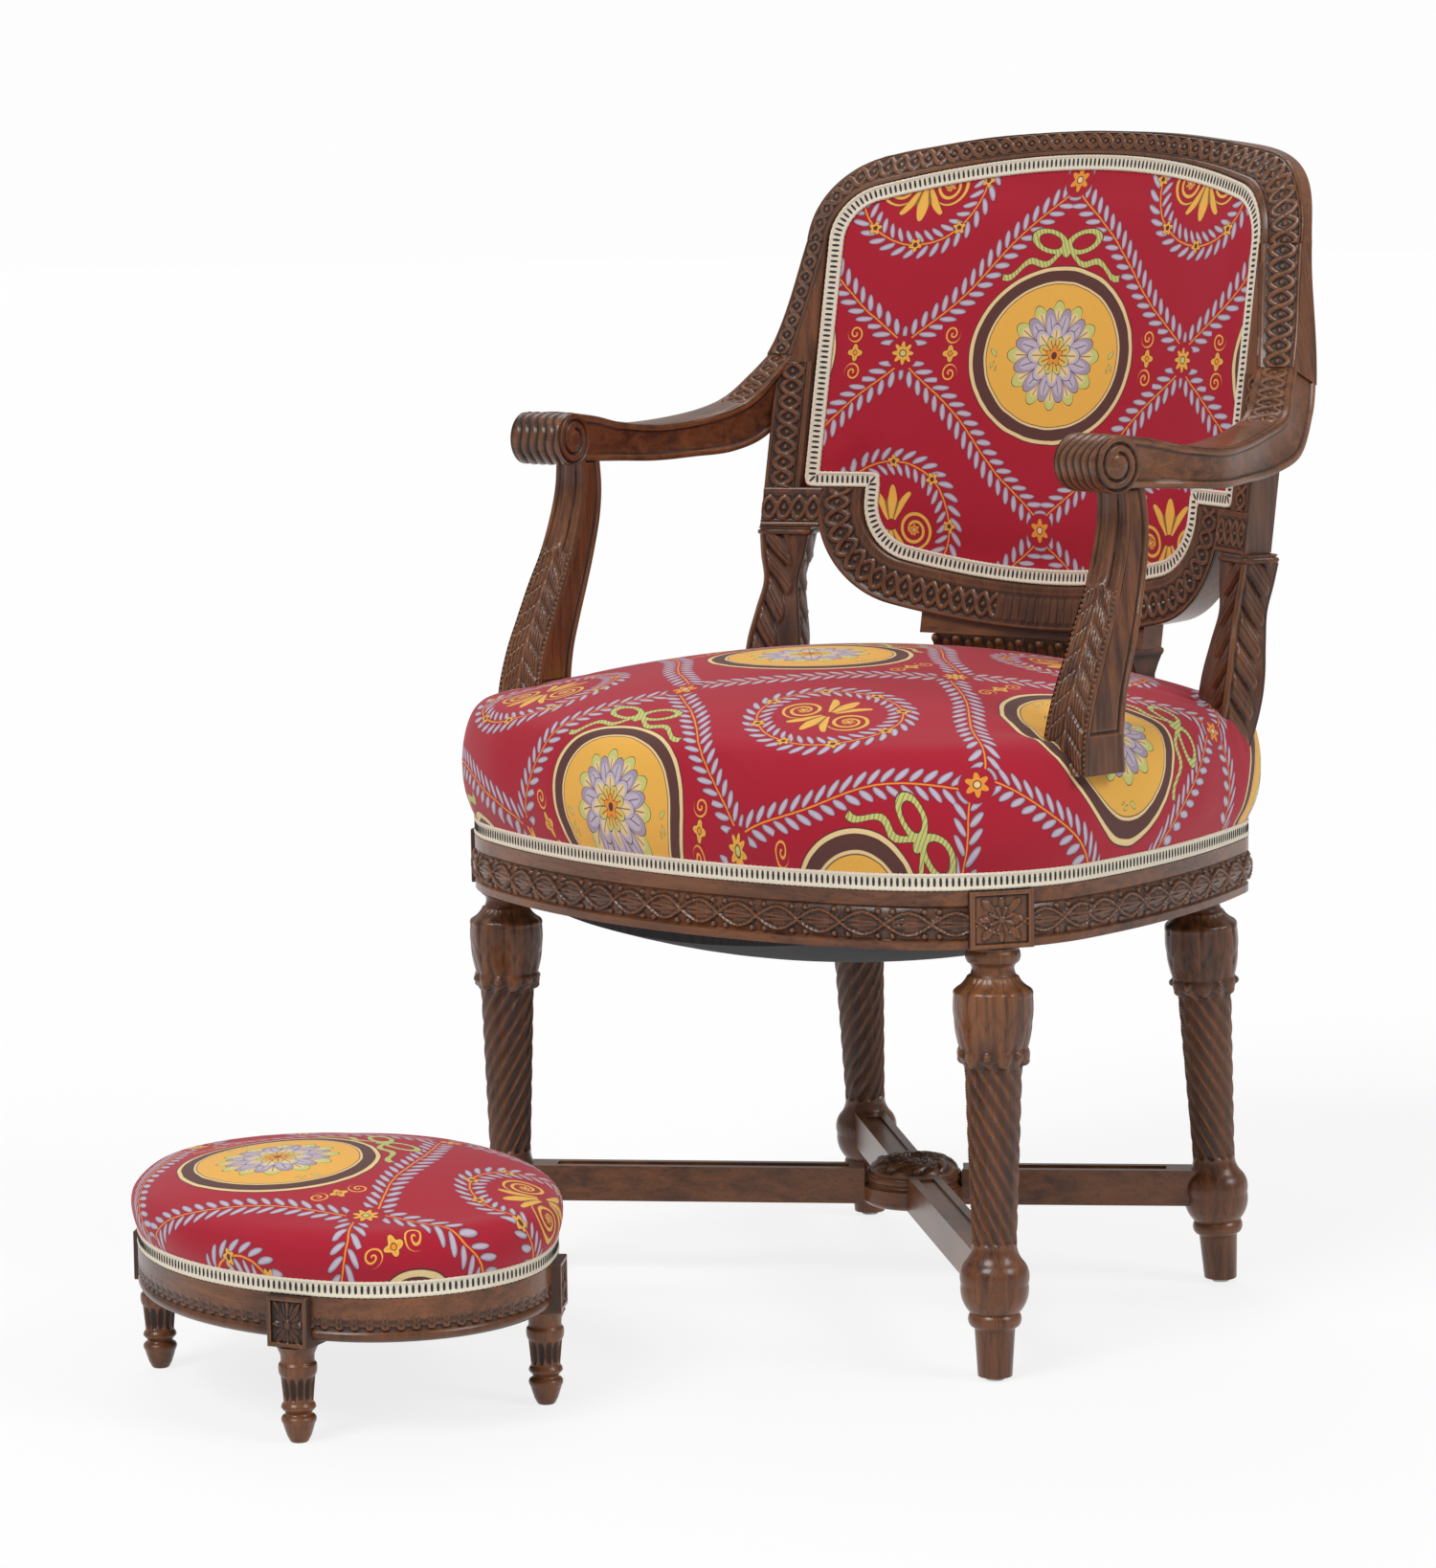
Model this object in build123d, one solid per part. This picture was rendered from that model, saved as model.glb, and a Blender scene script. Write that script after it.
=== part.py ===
"""An open armchair with a dished, padded back, and the low oval footstool that goes with it.

The chair faces -Y, left and right are as seen from its front, and both pieces stand on z = 0.
Each wooden member, upholstery layer and fixing is a solid of its own.
"""
import math
import os
from collections import namedtuple

from build123d import *

# Seat seen from above: its widest line, then tangent arcs to the front and to the back
seat_half_width = 308
seat_widest_y = -76
seat_rear_depth = 344
front_corner_share = 0.5065
front_bow_share = 0.0909
side_radius_share = 2.3701
rear_corner_share = 0.2013
rear_radius_share = 1.7565
seat_front_corner_radius = seat_half_width * front_corner_share
seat_front_bow = seat_half_width * front_bow_share
seat_side_radius = seat_half_width * side_radius_share
seat_rear_corner_radius = seat_half_width * rear_corner_share
seat_rear_radius = seat_half_width * rear_radius_share

# Seat rails
rail_bottom_z = 341
rail_height = 45
rail_thickness = 32
rail_fascia_height = 11
rail_torus_height = 24
rail_torus_swell = 3
rail_groove = 2
tenon_length = 20
tenon_height = 28
tenon_thickness = 11
fit_clearance = 0.15

# Legs of the chair
glide_height = 3
glide_radius = 7
leg_radius = 29
leg_spare = 3
leg_block_width = 52
leg_block_reach = 26
leg_block_proud = 3
front_leg_inset = 19
front_leg_angle = 29.8
rear_leg_inset = 23.6
rear_leg_angle = 68.1
rear_leg_back_splay = 22.9
rear_leg_side_splay = 5.8

# Stretcher
stretcher_bottom_z = 67
stretcher_height = 30
stretcher_width = 27
stretcher_panel_width = 13
stretcher_panel_depth = 2
stretcher_panel_margin = 12
stretcher_tenon_width = 12
stretcher_tenon_height = 18
stretcher_tenon_inset = 10
hub_y = 67
hub_bottom_z = 66
hub_radius = 43
hub_height = 27
boss_radius = 38
boss_height = 11

# Braces and screws in the corners of the seat frame
brace_length_share = 0.4026
brace_length = seat_half_width * brace_length_share
brace_depth = 20
brace_height = 30
screw_radius = 2.2
screw_head_radius = 4.4
screw_head_height = 2.4
screw_length = 32
screw_spread = 15

# Face of the back, dished and raked
back_setback = 28.8
back_rake = 0.168
back_dish_radius = 530
dish_half_angle = 42

# Padded opening of the back, seen from the front
opening_width_share = 0.776
opening_half_width = seat_half_width * opening_width_share
opening_bottom_z = 575
opening_corner_radius = 50
opening_bow = 23.5
crest_joint_z = 867
notch_inset = 53
notch_half_width = opening_half_width - notch_inset
notch_corner_radius = 54
notch_bow = 14
notch_shoulder_height = 9.5

# Wooden frame of the back
crest_overlap = 34.5
crest_half_width = opening_half_width + crest_overlap
crest_corner_radius = 75
crest_bow = 18
frame_proud = 3
frame_thickness = 32
frame_depth = 30
stile_width = 29
stile_bottom_drop = 34.5
flare_foot_drop = 100
flare_reach = 18
flare_splay = 29
lower_rail_width = 38
arm_lap = 12
trim = 2

# Arms with their scrolled ends
arm_overhang = 28
arm_front_y = -45
arm_low_z = 712.6
arm_width = 51
arm_depth = 40
arm_skew = 5
scroll_radius = 22
scroll_width = 53
scroll_reach = 9
scroll_rise = 1
scroll_turn = 10.4

# Arm supports
support_foot_inset = 4.3
support_foot_y = -76
support_sweep = 54
support_base_z = 470
support_width = 48
support_depth = 46
support_turn = 4.6
support_housing = 7
support_lean_in = 2.4
stub_width = 26
stub_inset = 18
peg_length = 14
peg_width = 18

# Posts between the seat and the back
post_width = 48
post_depth = 32
post_foot_forward = 110
post_top_inset = 13
post_top_behind = 13
post_foot_inset = 19
post_cap_height = 7
post_turn = 25

# Plinth and splat under the middle of the back
plinth_inset = 62
plinth_half_width = notch_half_width - plinth_inset
plinth_height = 19
plinth_bottom_drop = 46
plinth_front_offset = 2
plinth_depth = 25
splat_inset = 12
splat_half_width = plinth_half_width - splat_inset
splat_depth = 18
splat_setback = 10
splat_tenon_length = 12
splat_tenon_inset = 32
splat_tenon_half_width = splat_half_width - splat_tenon_inset
splat_tenon_depth = 9

# Seat upholstery
seat_tuck = 3
seat_bulge = 11
seat_side_height = 109
seat_shoulder_height = 138
seat_shoulder_core = 7
seat_crown_height = 154
seat_crown_drop = 44
seat_crown_radius = (seat_half_width ** 2 + seat_crown_drop ** 2) / (seat_crown_drop + seat_crown_drop)
webbing_width = 48
webbing_gap = 16
webbing_thickness = 1.6
webbing_inset = 20
spring_height = 121
spring_wire_radius = 1.9
spring_radius = 34
spring_ring_radius = 118
spring_turns = 4
springs_round = 6
points_to_a_turn = 48
hessian_thickness = 1.2
dust_cover_drop = 50
dust_cover_thickness = 1.5
dust_cover_radius = 750
gimp_width = 14
gimp_thickness = 2.4

# Back upholstery
pad_depth = 16
pad_crown = 14
pad_crown_radius = 1500
pad_dish_radius = 685
rebate_width = 8
back_webbing_inset = 2
back_webbing_width = 46
back_webbing_gap = 22
back_cover_offset = 20
back_cover_thickness = 1.6

# Footstool, seen from above
stool_x = -94.3
stool_y = -486.5
stool_turn = -16.6
stool_half_length = 200
stool_corner_radius = 124
stool_bow = 31

# Footstool frame
stool_rail_bottom_z = 80
stool_rail_height = 33
stool_rail_thickness = 24
stool_fascia_height = 15
stool_ogee_depth = 5
stool_leg_radius = 16.3
stool_leg_inset = 9
stool_leg_angle = 54
stool_block_width = 34
stool_block_reach = 17
stool_block_proud = 6
stool_block_drop = 6
stool_tenon_length = 12
stool_tenon_height = 20
stool_tenon_thickness = 8

# Footstool upholstery
stool_tuck = 3
stool_bulge = 5
stool_side_height = 40
stool_shoulder_height = 66
stool_shoulder_depth = 60
stool_crown_height = 72
stool_crown_radius = 600
stool_gimp_width = 13
stool_webbing_width = 36
stool_webbing_gap = 14
stool_webbing_inset = 12
stool_cloth_inset = 8

overrun = 200
through = 800
whole_turn = 360
half_turn = 180
quarter_turn = 90

# Turned leg from the foot up: share of its height, share of its radius, bow of the stretch below
LEG_SHARES = [
    (0, 0.466, 0), (0.112, 0.548, 0), (0.118, 0.655, 0), (0.148, 0.655, 0.18), (0.216, 0.907, 0.12),
    (0.269, 0.76, 0.14), (0.305, 0.603, -0.08), (0.719, 0.776, 0), (0.766, 0.845, 0.16),
    (0.885, 1.0, 0.05), (0.902, 0.931, 0.2), (0.947, 0.566, -0.12), (0.962, 0.69, -0.15),
    (0.991, 0.69, 0.15), (1, 0.69, 0),
]
STOOL_LEG_SHARES = [
    (0, 0.4, 0), (0.2, 0.74, -0.06), (0.26, 0.74, 0.2), (0.3, 0.6, 0), (0.37, 0.8, 0.2),
    (0.41, 0.69, 0.1), (0.68, 0.79, 0), (0.73, 0.88, 0.1), (0.8, 0.88, 0.3), (0.83, 0.78, 0),
    (0.9, 0.79, -0.1), (1, 1.0, 0.2),
]
HUB_SHARES = [(0, 0.84, 0), (0.16, 1.0, 0.15), (0.6, 1.0, 0), (0.74, 0.91, -0.2), (1, 0.91, 0.2)]
BOSS_SHARES = [(0, 1.0, 0), (0.35, 1.0, 0.2), (1, 0.62, 0.12), (0.96, 0.3, 0.1), (0.45, 0.2, 0)]

shoulder_in_share = 0.3
shoulder_up_share = 0.7
cavity_share = 0.74
webbing_corner_share = 1.1
ogee_bulge_share = 0.25
ogee_rise_share = 0.6
dust_cover_share = 0.9

# Arm support from the seat up: height, sweep back, lean to the arm, width, depth
SUPPORT_SHARES = [
    (0, 0.02, 0, 1.0, 1.0), (0.12, 0.04, 0, 0.95, 0.94), (0.25, 0.16, 0.02, 0.9, 0.87),
    (0.37, 0.35, 0.06, 0.86, 0.81), (0.5, 0.57, 0.16, 0.82, 0.75), (0.62, 0.77, 0.34, 0.75, 0.68),
    (0.75, 0.93, 0.54, 0.71, 0.62), (0.87, 1.0, 0.75, 0.67, 0.55), (1, 0.97, 1.0, 0.62, 0.5),
]

# Post from the rail up: height, how far along to its top, width, depth
POST_SHARES = [
    (0, 0, 0.42, 0.68), (0.2, 0.12, 0.5, 0.75), (0.45, 0.36, 0.96, 1.0), (0.58, 0.51, 1.0, 1.03),
    (0.71, 0.67, 0.8, 0.95), (0.82, 0.82, 0.63, 0.88), (0.92, 0.92, 0.8, 0.93), (1, 1.0, 0.9, 0.97),
]

# Arm from its neck to the stile: run back, draw in, rise, width, skew, backward depth, drop
ARM_SHARES = [
    (0, 0.34, 0.265, 0.784, 0, 0, 1.0), (0.134, 0.34, 0.19, 0.725, 0, 0, 0.95),
    (0.263, 0.09, 0.072, 0.882, 0, 0, 0.83), (0.425, 0, 0, 1.0, 0, 0, 0.78),
    (0.587, 0.2, 0.04, 0.937, 0, 0, 0.8), (0.749, 0.447, 0.164, 0.824, 0.2, 0.15, 0.9),
    (0.86, 0.557, 0.357, 0.8, 0.9, 0.45, 0.85), (0.937, 0.82, 0.706, 0.72, 1.0, 0.75, 0.55),
]

# Splayed strip of a stile: rise, reach outward, splay back, inner and outer depth, drop
FLARE_SHARES = [
    (0, 1.0, 0.76, 1.0, 1.0, 0.47), (0.13, 0.82, 0.86, 1.0, 0.9, 0.27),
    (0.52, 0.42, 0.97, 1.0, 0.6, 0), (1, 0, 1.0, 1.0, 0.4, 0),
]

# Crest from its joint to its middle: which arc, how far along it, splay back
CREST_SHARES = [
    (0, 0, 1.0), (0, 0.35, 1.0), (0, 0.7, 1.0), (1, 0, 0.9), (1, 0.3, 0.4), (1, 0.65, 0.05), (1, 1.0, -0.1),
]
crest_outer_depth_share = 0.4

Corner = namedtuple("Corner", "x y angle inset")
pieces = {}


def unit(angle):
    """A level direction, as its cosine and sine."""
    return math.cos(math.radians(angle)), math.sin(math.radians(angle))


# Plans and outlines made of tangent arcs, each one centre x, centre y, radius, first and last angle

def corner_and_end(half_width, corner_radius, bow):
    """A quarter whose corner arc starts on the widest line and whose end arc bows past it."""
    corner_x = half_width - corner_radius
    depth = corner_radius + bow
    end_radius = (depth ** 2 - corner_radius ** 2 + corner_x ** 2) / (bow + bow)
    end_y = depth - end_radius
    meet = math.degrees(math.atan2(-end_y, corner_x))
    return [(corner_x, 0, corner_radius, 0, meet), (0, end_y, end_radius, meet, quarter_turn)]


def side_corner_and_end(half_width, depth, side_radius, corner_radius, end_radius):
    """A quarter with a long side arc, a corner arc and an end arc."""
    side_x = half_width - side_radius
    end_y = depth - end_radius
    gap = math.hypot(side_x, end_y)
    from_side = side_radius - corner_radius
    from_end = end_radius - corner_radius
    along = (from_side ** 2 - from_end ** 2 + gap ** 2) / (gap + gap)
    across = math.sqrt(from_side ** 2 - along ** 2)
    corner_x = side_x + (-side_x * along - end_y * across) / gap
    corner_y = (end_y * along - side_x * across) / gap
    first = math.degrees(math.atan2(corner_y, corner_x - side_x))
    last = math.degrees(math.atan2(corner_y - end_y, corner_x))
    return [
        (side_x, 0, side_radius, 0, first),
        (corner_x, corner_y, corner_radius, first, last),
        (0, end_y, end_radius, last, quarter_turn),
    ]


def grown(arcs, margin):
    """The same arcs, parallel and further out by a margin."""
    return [(x, y, radius + margin, first, last) for x, y, radius, first, last in arcs]


def upper_half(quarter, level):
    """Arcs from the right over the far end to the left."""
    arcs = [(x, level + y, radius, first, last) for x, y, radius, first, last in quarter]
    for x, y, radius, first, last in reversed(quarter):
        arcs.append((-x, level + y, radius, half_turn - last, half_turn - first))
    return arcs


def lower_half(quarter, level):
    """Arcs from the left over the near end to the right."""
    arcs = []
    for x, y, radius, first, last in quarter:
        arcs.append((-x, level - y, radius, half_turn + first, half_turn + last))
    for x, y, radius, first, last in reversed(quarter):
        arcs.append((x, level - y, radius, whole_turn - last, whole_turn - first))
    return arcs


def scaled(arcs, middle_y, share):
    """The same arcs drawn in about a middle by a share."""
    return [
        (x * share, middle_y + (y - middle_y) * share, radius * share, first, last)
        for x, y, radius, first, last in arcs
    ]


def arc_edges(arcs):
    """The arcs as edges."""
    return [CenterArc((x, y), radius, first, last - first) for x, y, radius, first, last in arcs]


def point_on(arc, share):
    """The point some share of the way along an arc."""
    x, y, radius, first, last = arc
    out_x, out_y = unit(first + (last - first) * share)
    return x + radius * out_x, y + radius * out_y


def plan_plate(arcs, low_z, height):
    """A plan as a flat plate."""
    return Solid.extrude(Pos(0, 0, low_z) * Face(Wire(arc_edges(arcs))), Vector(0, 0, height))


def plan_ring(arcs, profile):
    """A moulding run round the plan from a section in outward distances and heights."""
    ring = None
    for x, y, radius, first, last in arcs:
        out_x, out_y = unit(first)
        station = Plane(origin=(x, y, 0), x_dir=(out_x, out_y, 0), z_dir=(out_y, -out_x, 0))
        section = station * (Pos(radius, 0, 0) * profile)
        piece = revolve(section, Axis((x, y, 0), (0, 0, 1)), last - first)
        ring = piece if ring is None else ring + piece
    return ring


def crowned_cushion(arcs, middle_y, low_z, sizes):
    """A cushion over a plan, its sides bulging from a tucked foot and its top crowned."""
    tuck, bulge, side_height, shoulder_height, shoulder_depth, crown_height, crown_radius = sizes
    foot = (-tuck, low_z)
    side = (bulge, low_z + side_height / 2)
    top = (0, low_z + side_height)
    shoulder_rise = shoulder_height - side_height
    shoulder = (-shoulder_depth * shoulder_in_share, low_z + side_height + shoulder_rise * shoulder_up_share)
    inner = (-shoulder_depth, low_z + shoulder_height)
    edges = [ThreePointArc(foot, side, top), ThreePointArc(top, shoulder, inner)]
    edges += Polyline(inner, (-shoulder_depth, low_z), foot).edges()
    body = plan_ring(arcs, Face(Wire(edges))) + plan_plate(grown(arcs, -shoulder_depth), low_z, crown_height)
    return body & (Pos(0, middle_y, low_z + crown_height - crown_radius) * Sphere(crown_radius))


# Turned members

def turned(outline_shares, height, radius, spare):
    """A turning on the z axis, carried on by a spare length past both ends."""
    first_radius = outline_shares[0][1] * radius
    last_radius = outline_shares[-1][1] * radius
    last_z = outline_shares[-1][0] * height
    edges = [Line((0, -spare), (first_radius, -spare))]
    start_x, start_z = first_radius, 0
    if spare:
        edges.append(Line((first_radius, -spare), (first_radius, 0)))
        edges.append(Line((last_radius, last_z), (last_radius, last_z + spare)))
    for height_share, radius_share, bow_share in outline_shares[1:]:
        end_x, end_z = radius_share * radius, height_share * height
        if bow_share:
            middle_x = (start_x + end_x) / 2 + bow_share * (end_z - start_z)
            middle_z = (start_z + end_z) / 2 - bow_share * (end_x - start_x)
            edges.append(ThreePointArc((start_x, start_z), (middle_x, middle_z), (end_x, end_z)))
        else:
            edges.append(Line((start_x, start_z), (end_x, end_z)))
        start_x, start_z = end_x, end_z
    edges += Polyline((last_radius, last_z + spare), (0, last_z + spare), (0, -spare)).edges()
    return revolve(Plane.XZ * Face(Wire(edges)), Axis.Z, whole_turn)


def leg_turning(outline_shares, foot, top, radius, spare):
    """A turned leg between its foot and its top, cut level at the foot."""
    foot, top = Vector(*foot), Vector(*top)
    turning = turned(outline_shares, (top - foot).length, radius, spare)
    leaning = Plane(origin=foot, z_dir=top - foot) * turning
    below = Pos(foot.X, foot.Y, foot.Z - overrun / 2) * Box(overrun, overrun, overrun)
    return leaning - below


# Frames of rails tenoned into blocks at the corners

def corner_on(arc, angle, inset, centre_y):
    """A corner on one of a plan's arcs, its axis inset from the outline."""
    out_x, out_y = unit(angle)
    reach = arc[2] - inset
    return Corner(arc[0] + reach * out_x, centre_y + arc[1] + reach * out_y, angle, inset)


def beside(corner, shape, z, outward, along):
    """A shape set beside a corner's axis, outward and along the rails."""
    return Pos(corner.x, corner.y, z) * Rot(0, 0, corner.angle) * Pos(outward, along, 0) * shape


def corner_block(corner, reach, proud, width, low_z, height):
    """Square block at the head of a leg, its panel standing proud of the rails."""
    depth = reach + corner.inset + proud
    outward = (corner.inset + proud - reach) / 2
    return beside(corner, Box(depth, width, height), low_z + height / 2, outward, 0)


def rail_tenon(corner, side, block_width, thickness, sizes, middle_z, clearance):
    """Tenon of a rail, half in the rail and half in the side of a corner block."""
    length, height, width = sizes
    box = Box(width + clearance + clearance, length + length + clearance, height + clearance + clearance)
    return beside(corner, box, middle_z, corner.inset - thickness / 2, side * block_width / 2)


def framed(plan, section, corners, blocks, thickness, block_width, sizes, middle_z):
    """Rails cut from a moulding between the corner blocks, with tenons; blocks get the mortises."""
    ring = plan_ring(plan, section)
    for block in blocks:
        ring = ring - block
    lengths = ring.solids()
    rails = []
    mortised = list(blocks)
    for index, corner in enumerate(corners):
        following = (index + 1) % len(corners)
        beyond = corners[following]
        middle = Vector((corner.x + beyond.x) / 2, (corner.y + beyond.y) / 2, middle_z)
        rail = min(lengths, key=lambda length: (length.center() - middle).length)
        ends = [(index, 1), (following, -1)]
        for end, side in ends:
            rail = rail + rail_tenon(corners[end], side, block_width, thickness, sizes, middle_z, 0)
            cut = rail_tenon(corners[end], side, block_width, thickness, sizes, middle_z, fit_clearance)
            mortised[end] = mortised[end] - cut
        rails.append(rail)
    return rails, mortised


def bar_between(start, end, width, height, middle_z, start_gap, end_gap):
    """A level bar along the line between two points, stopping short of each."""
    run = Vector(end[0] - start[0], end[1] - start[1])
    middle = (start_gap + run.length - end_gap) / 2
    angle = math.degrees(math.atan2(run.Y, run.X))
    box = Box(run.length - start_gap - end_gap, width, height)
    return Pos(start[0], start[1], middle_z) * Rot(0, 0, angle) * Pos(middle, 0, 0) * box


def mirrored(shape):
    """The same piece on the other side of the chair."""
    return mirror(shape, Plane.YZ)


def grid_holes(half_width, half_height, strip, gap):
    """Gaps of a webbing, in rows and columns about the middle."""
    pitch = strip + gap
    columns = int(half_width / pitch)
    rows = int(half_height / pitch)
    holes = []
    for column in range(-columns, columns):
        for row in range(-rows, rows):
            across = column * pitch + pitch / 2
            along = row * pitch + pitch / 2
            reach_share = math.hypot(across / (columns * pitch), along / (rows * pitch))
            if reach_share < webbing_corner_share:
                holes.append(Pos(across, along) * Rectangle(gap, gap))
    return holes


# Seat frame

seat_quarter = side_corner_and_end(
    seat_half_width, seat_rear_depth, seat_side_radius, seat_rear_corner_radius, seat_rear_radius,
)
front_quarter = corner_and_end(seat_half_width, seat_front_corner_radius, seat_front_bow)
seat_plan = upper_half(seat_quarter, seat_widest_y) + lower_half(front_quarter, seat_widest_y)
seat_rear_y = seat_widest_y + seat_rear_depth
seat_front_y = seat_widest_y - seat_front_corner_radius - seat_front_bow
seat_middle_y = (seat_rear_y + seat_front_y) / 2
rail_top_z = rail_bottom_z + rail_height
rail_middle_z = rail_bottom_z + rail_height / 2


def seat_rail_section():
    """Rail mouldings from the top: fascia, groove, torus, groove and a fillet at the foot."""
    fascia_z = rail_top_z - rail_fascia_height
    torus_top = (-rail_groove, fascia_z - rail_groove)
    torus_foot = (-rail_groove, fascia_z - rail_groove - rail_torus_height)
    torus_face = (rail_torus_swell - rail_groove, fascia_z - rail_groove - rail_torus_height / 2)
    edges = Polyline(torus_top, (0, fascia_z), (0, rail_top_z), (-rail_thickness, rail_top_z)).edges()
    edges.append(Line((-rail_thickness, rail_top_z), (-rail_thickness, rail_bottom_z)))
    edges.append(Line((-rail_thickness, rail_bottom_z), (0, rail_bottom_z)))
    edges += Polyline((0, rail_bottom_z), (0, torus_foot[1] - rail_groove), torus_foot).edges()
    edges.append(ThreePointArc(torus_foot, torus_face, torus_top))
    return Face(Wire(edges))


def side_rail_middle_x(y):
    """How far out the middle of a side rail runs, behind the widest line."""
    side_x, _, radius, _, _ = seat_quarter[0]
    return side_x + math.sqrt((radius - rail_thickness / 2) ** 2 - (y - seat_widest_y) ** 2)


front_arc = lower_half(front_quarter, 0)[-1]
front_right = corner_on(front_arc, -front_leg_angle, front_leg_inset, seat_widest_y)
rear_right = corner_on(seat_quarter[-1], rear_leg_angle, rear_leg_inset, seat_widest_y)
rear_left = Corner(-rear_right.x, rear_right.y, half_turn - rear_leg_angle, rear_leg_inset)
front_left = Corner(-front_right.x, front_right.y, half_turn + front_leg_angle, front_leg_inset)
seat_corners = [front_right, rear_right, rear_left, front_left]
seat_blocks = [
    corner_block(corner, leg_block_reach, leg_block_proud, leg_block_width, rail_bottom_z, rail_height)
    for corner in seat_corners
]
seat_rails, seat_blocks = framed(
    seat_plan, seat_rail_section(), seat_corners, seat_blocks, rail_thickness, leg_block_width,
    (tenon_length, tenon_height, tenon_thickness), rail_middle_z,
)


# Legs, glides and stretcher

leg_height = rail_bottom_z - glide_height
stretcher_middle_z = stretcher_bottom_z + stretcher_height / 2
stretcher_drop_share = (rail_bottom_z - stretcher_middle_z) / leg_height
hub_place = Pos(0, hub_y, hub_bottom_z)
hub = hub_place * turned(HUB_SHARES, hub_height, hub_radius, 0)
hub_shadow = hub_place * Cylinder(hub_radius, overrun)


def stretcher_core(start, clearance):
    """The tenons at both ends of a stretcher, in one length."""
    width = stretcher_tenon_width + clearance + clearance
    height = stretcher_tenon_height + clearance + clearance
    gaps = (stretcher_tenon_inset - clearance, hub_radius - stretcher_tenon_inset - clearance)
    return bar_between(start, (0, hub_y), width, height, stretcher_middle_z, *gaps)


def stretcher_bar(start, turning):
    """A stretcher from a leg to the hub, with a sunk panel along its top."""
    centre = (0, hub_y)
    bar = bar_between(start, centre, stretcher_width, stretcher_height, stretcher_middle_z, 0, 0)
    panel_top_z = stretcher_middle_z + stretcher_height / 2
    panel_height = stretcher_panel_depth + stretcher_panel_depth
    gaps = (leg_radius + stretcher_panel_margin, hub_radius + stretcher_panel_margin)
    panel = bar_between(start, centre, stretcher_panel_width, panel_height, panel_top_z, *gaps)
    return bar - panel - turning - hub_shadow + stretcher_core(start, 0)


corner_names = ["front_right", "rear_right", "rear_left", "front_left"]
side_splays = [0, rear_leg_side_splay, -rear_leg_side_splay, 0]
back_splays = [0, rear_leg_back_splay, rear_leg_back_splay, 0]
glides = []
legs = []
for index, name in enumerate(corner_names):
    corner = seat_corners[index]
    foot = (corner.x + side_splays[index], corner.y + back_splays[index], glide_height)
    turning = leg_turning(LEG_SHARES, foot, (corner.x, corner.y, rail_bottom_z), leg_radius, leg_spare)
    start_x = corner.x + side_splays[index] * stretcher_drop_share
    start_y = corner.y + back_splays[index] * stretcher_drop_share
    pieces[name + "_stretcher"] = stretcher_bar((start_x, start_y), turning)
    mortise = stretcher_core((start_x, start_y), fit_clearance)
    hub = hub - mortise
    legs.append(seat_blocks[index] + (turning - mortise))
    glides.append(Pos(foot[0], foot[1], glide_height / 2) * Cylinder(glide_radius, glide_height))

pieces["chair_glides"] = Part(children=glides)
pieces["stretcher_hub"] = hub
pieces["stretcher_rosette"] = Pos(0, hub_y, hub_bottom_z + hub_height) * turned(
    BOSS_SHARES, boss_height, boss_radius, 0)


# Corner braces and their screws

braces = []
screws = []
for index, corner in enumerate(seat_corners):
    brace = Box(brace_depth, brace_length, brace_height)
    brace = beside(corner, brace, rail_middle_z, -leg_block_reach - brace_depth / 2, 0)
    for rail in seat_rails:
        brace = brace - rail
    for side in (-1, 1):
        shank = Rot(0, quarter_turn, 0) * Cylinder(screw_radius, screw_length)
        head = Rot(0, quarter_turn, 0) * Cylinder(screw_head_radius, screw_head_height)
        head_out = -leg_block_reach - brace_depth - screw_head_height / 2
        shank_out = -leg_block_reach - brace_depth + screw_length / 2
        screw = beside(corner, shank, rail_middle_z, shank_out, side * screw_spread)
        screw = screw + beside(corner, head, rail_middle_z, head_out, side * screw_spread)
        brace = brace - screw
        legs[index] = legs[index] - screw
        screws.append(screw)
    braces.append(brace)

for index, name in enumerate(corner_names):
    pieces[name + "_leg"] = legs[index]
for name, rail in zip(["right", "rear", "left", "front"], seat_rails):
    pieces[name + "_seat_rail"] = rail
pieces["corner_braces"] = Part(children=braces)
pieces["brace_screws"] = Part(children=screws)


# Surfaces and outlines of the back

back_base_y = seat_rear_y - back_setback
crown_quarter = corner_and_end(opening_half_width, opening_corner_radius, opening_bow)
notch_quarter = corner_and_end(notch_half_width, notch_corner_radius, notch_bow)
notch_spring_z = opening_bottom_z + notch_corner_radius + notch_bow
shoulder_z = notch_spring_z + notch_shoulder_height
stile_bottom_z = shoulder_z - stile_bottom_drop
flare_foot_z = crest_joint_z - flare_foot_drop
stile_outer_x = opening_half_width + stile_width
lower_rail_radius = notch_corner_radius + lower_rail_width
joint_rise = notch_spring_z - stile_bottom_z
joint_x = notch_half_width - notch_corner_radius + math.sqrt(lower_rail_radius ** 2 - joint_rise ** 2)


def back_y(x, z):
    """Where the face of the back lies, raked up its height and dished across its width."""
    dish = back_dish_radius - math.sqrt(back_dish_radius ** 2 - x ** 2)
    return back_base_y + back_rake * (z - opening_bottom_z) - dish


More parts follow.
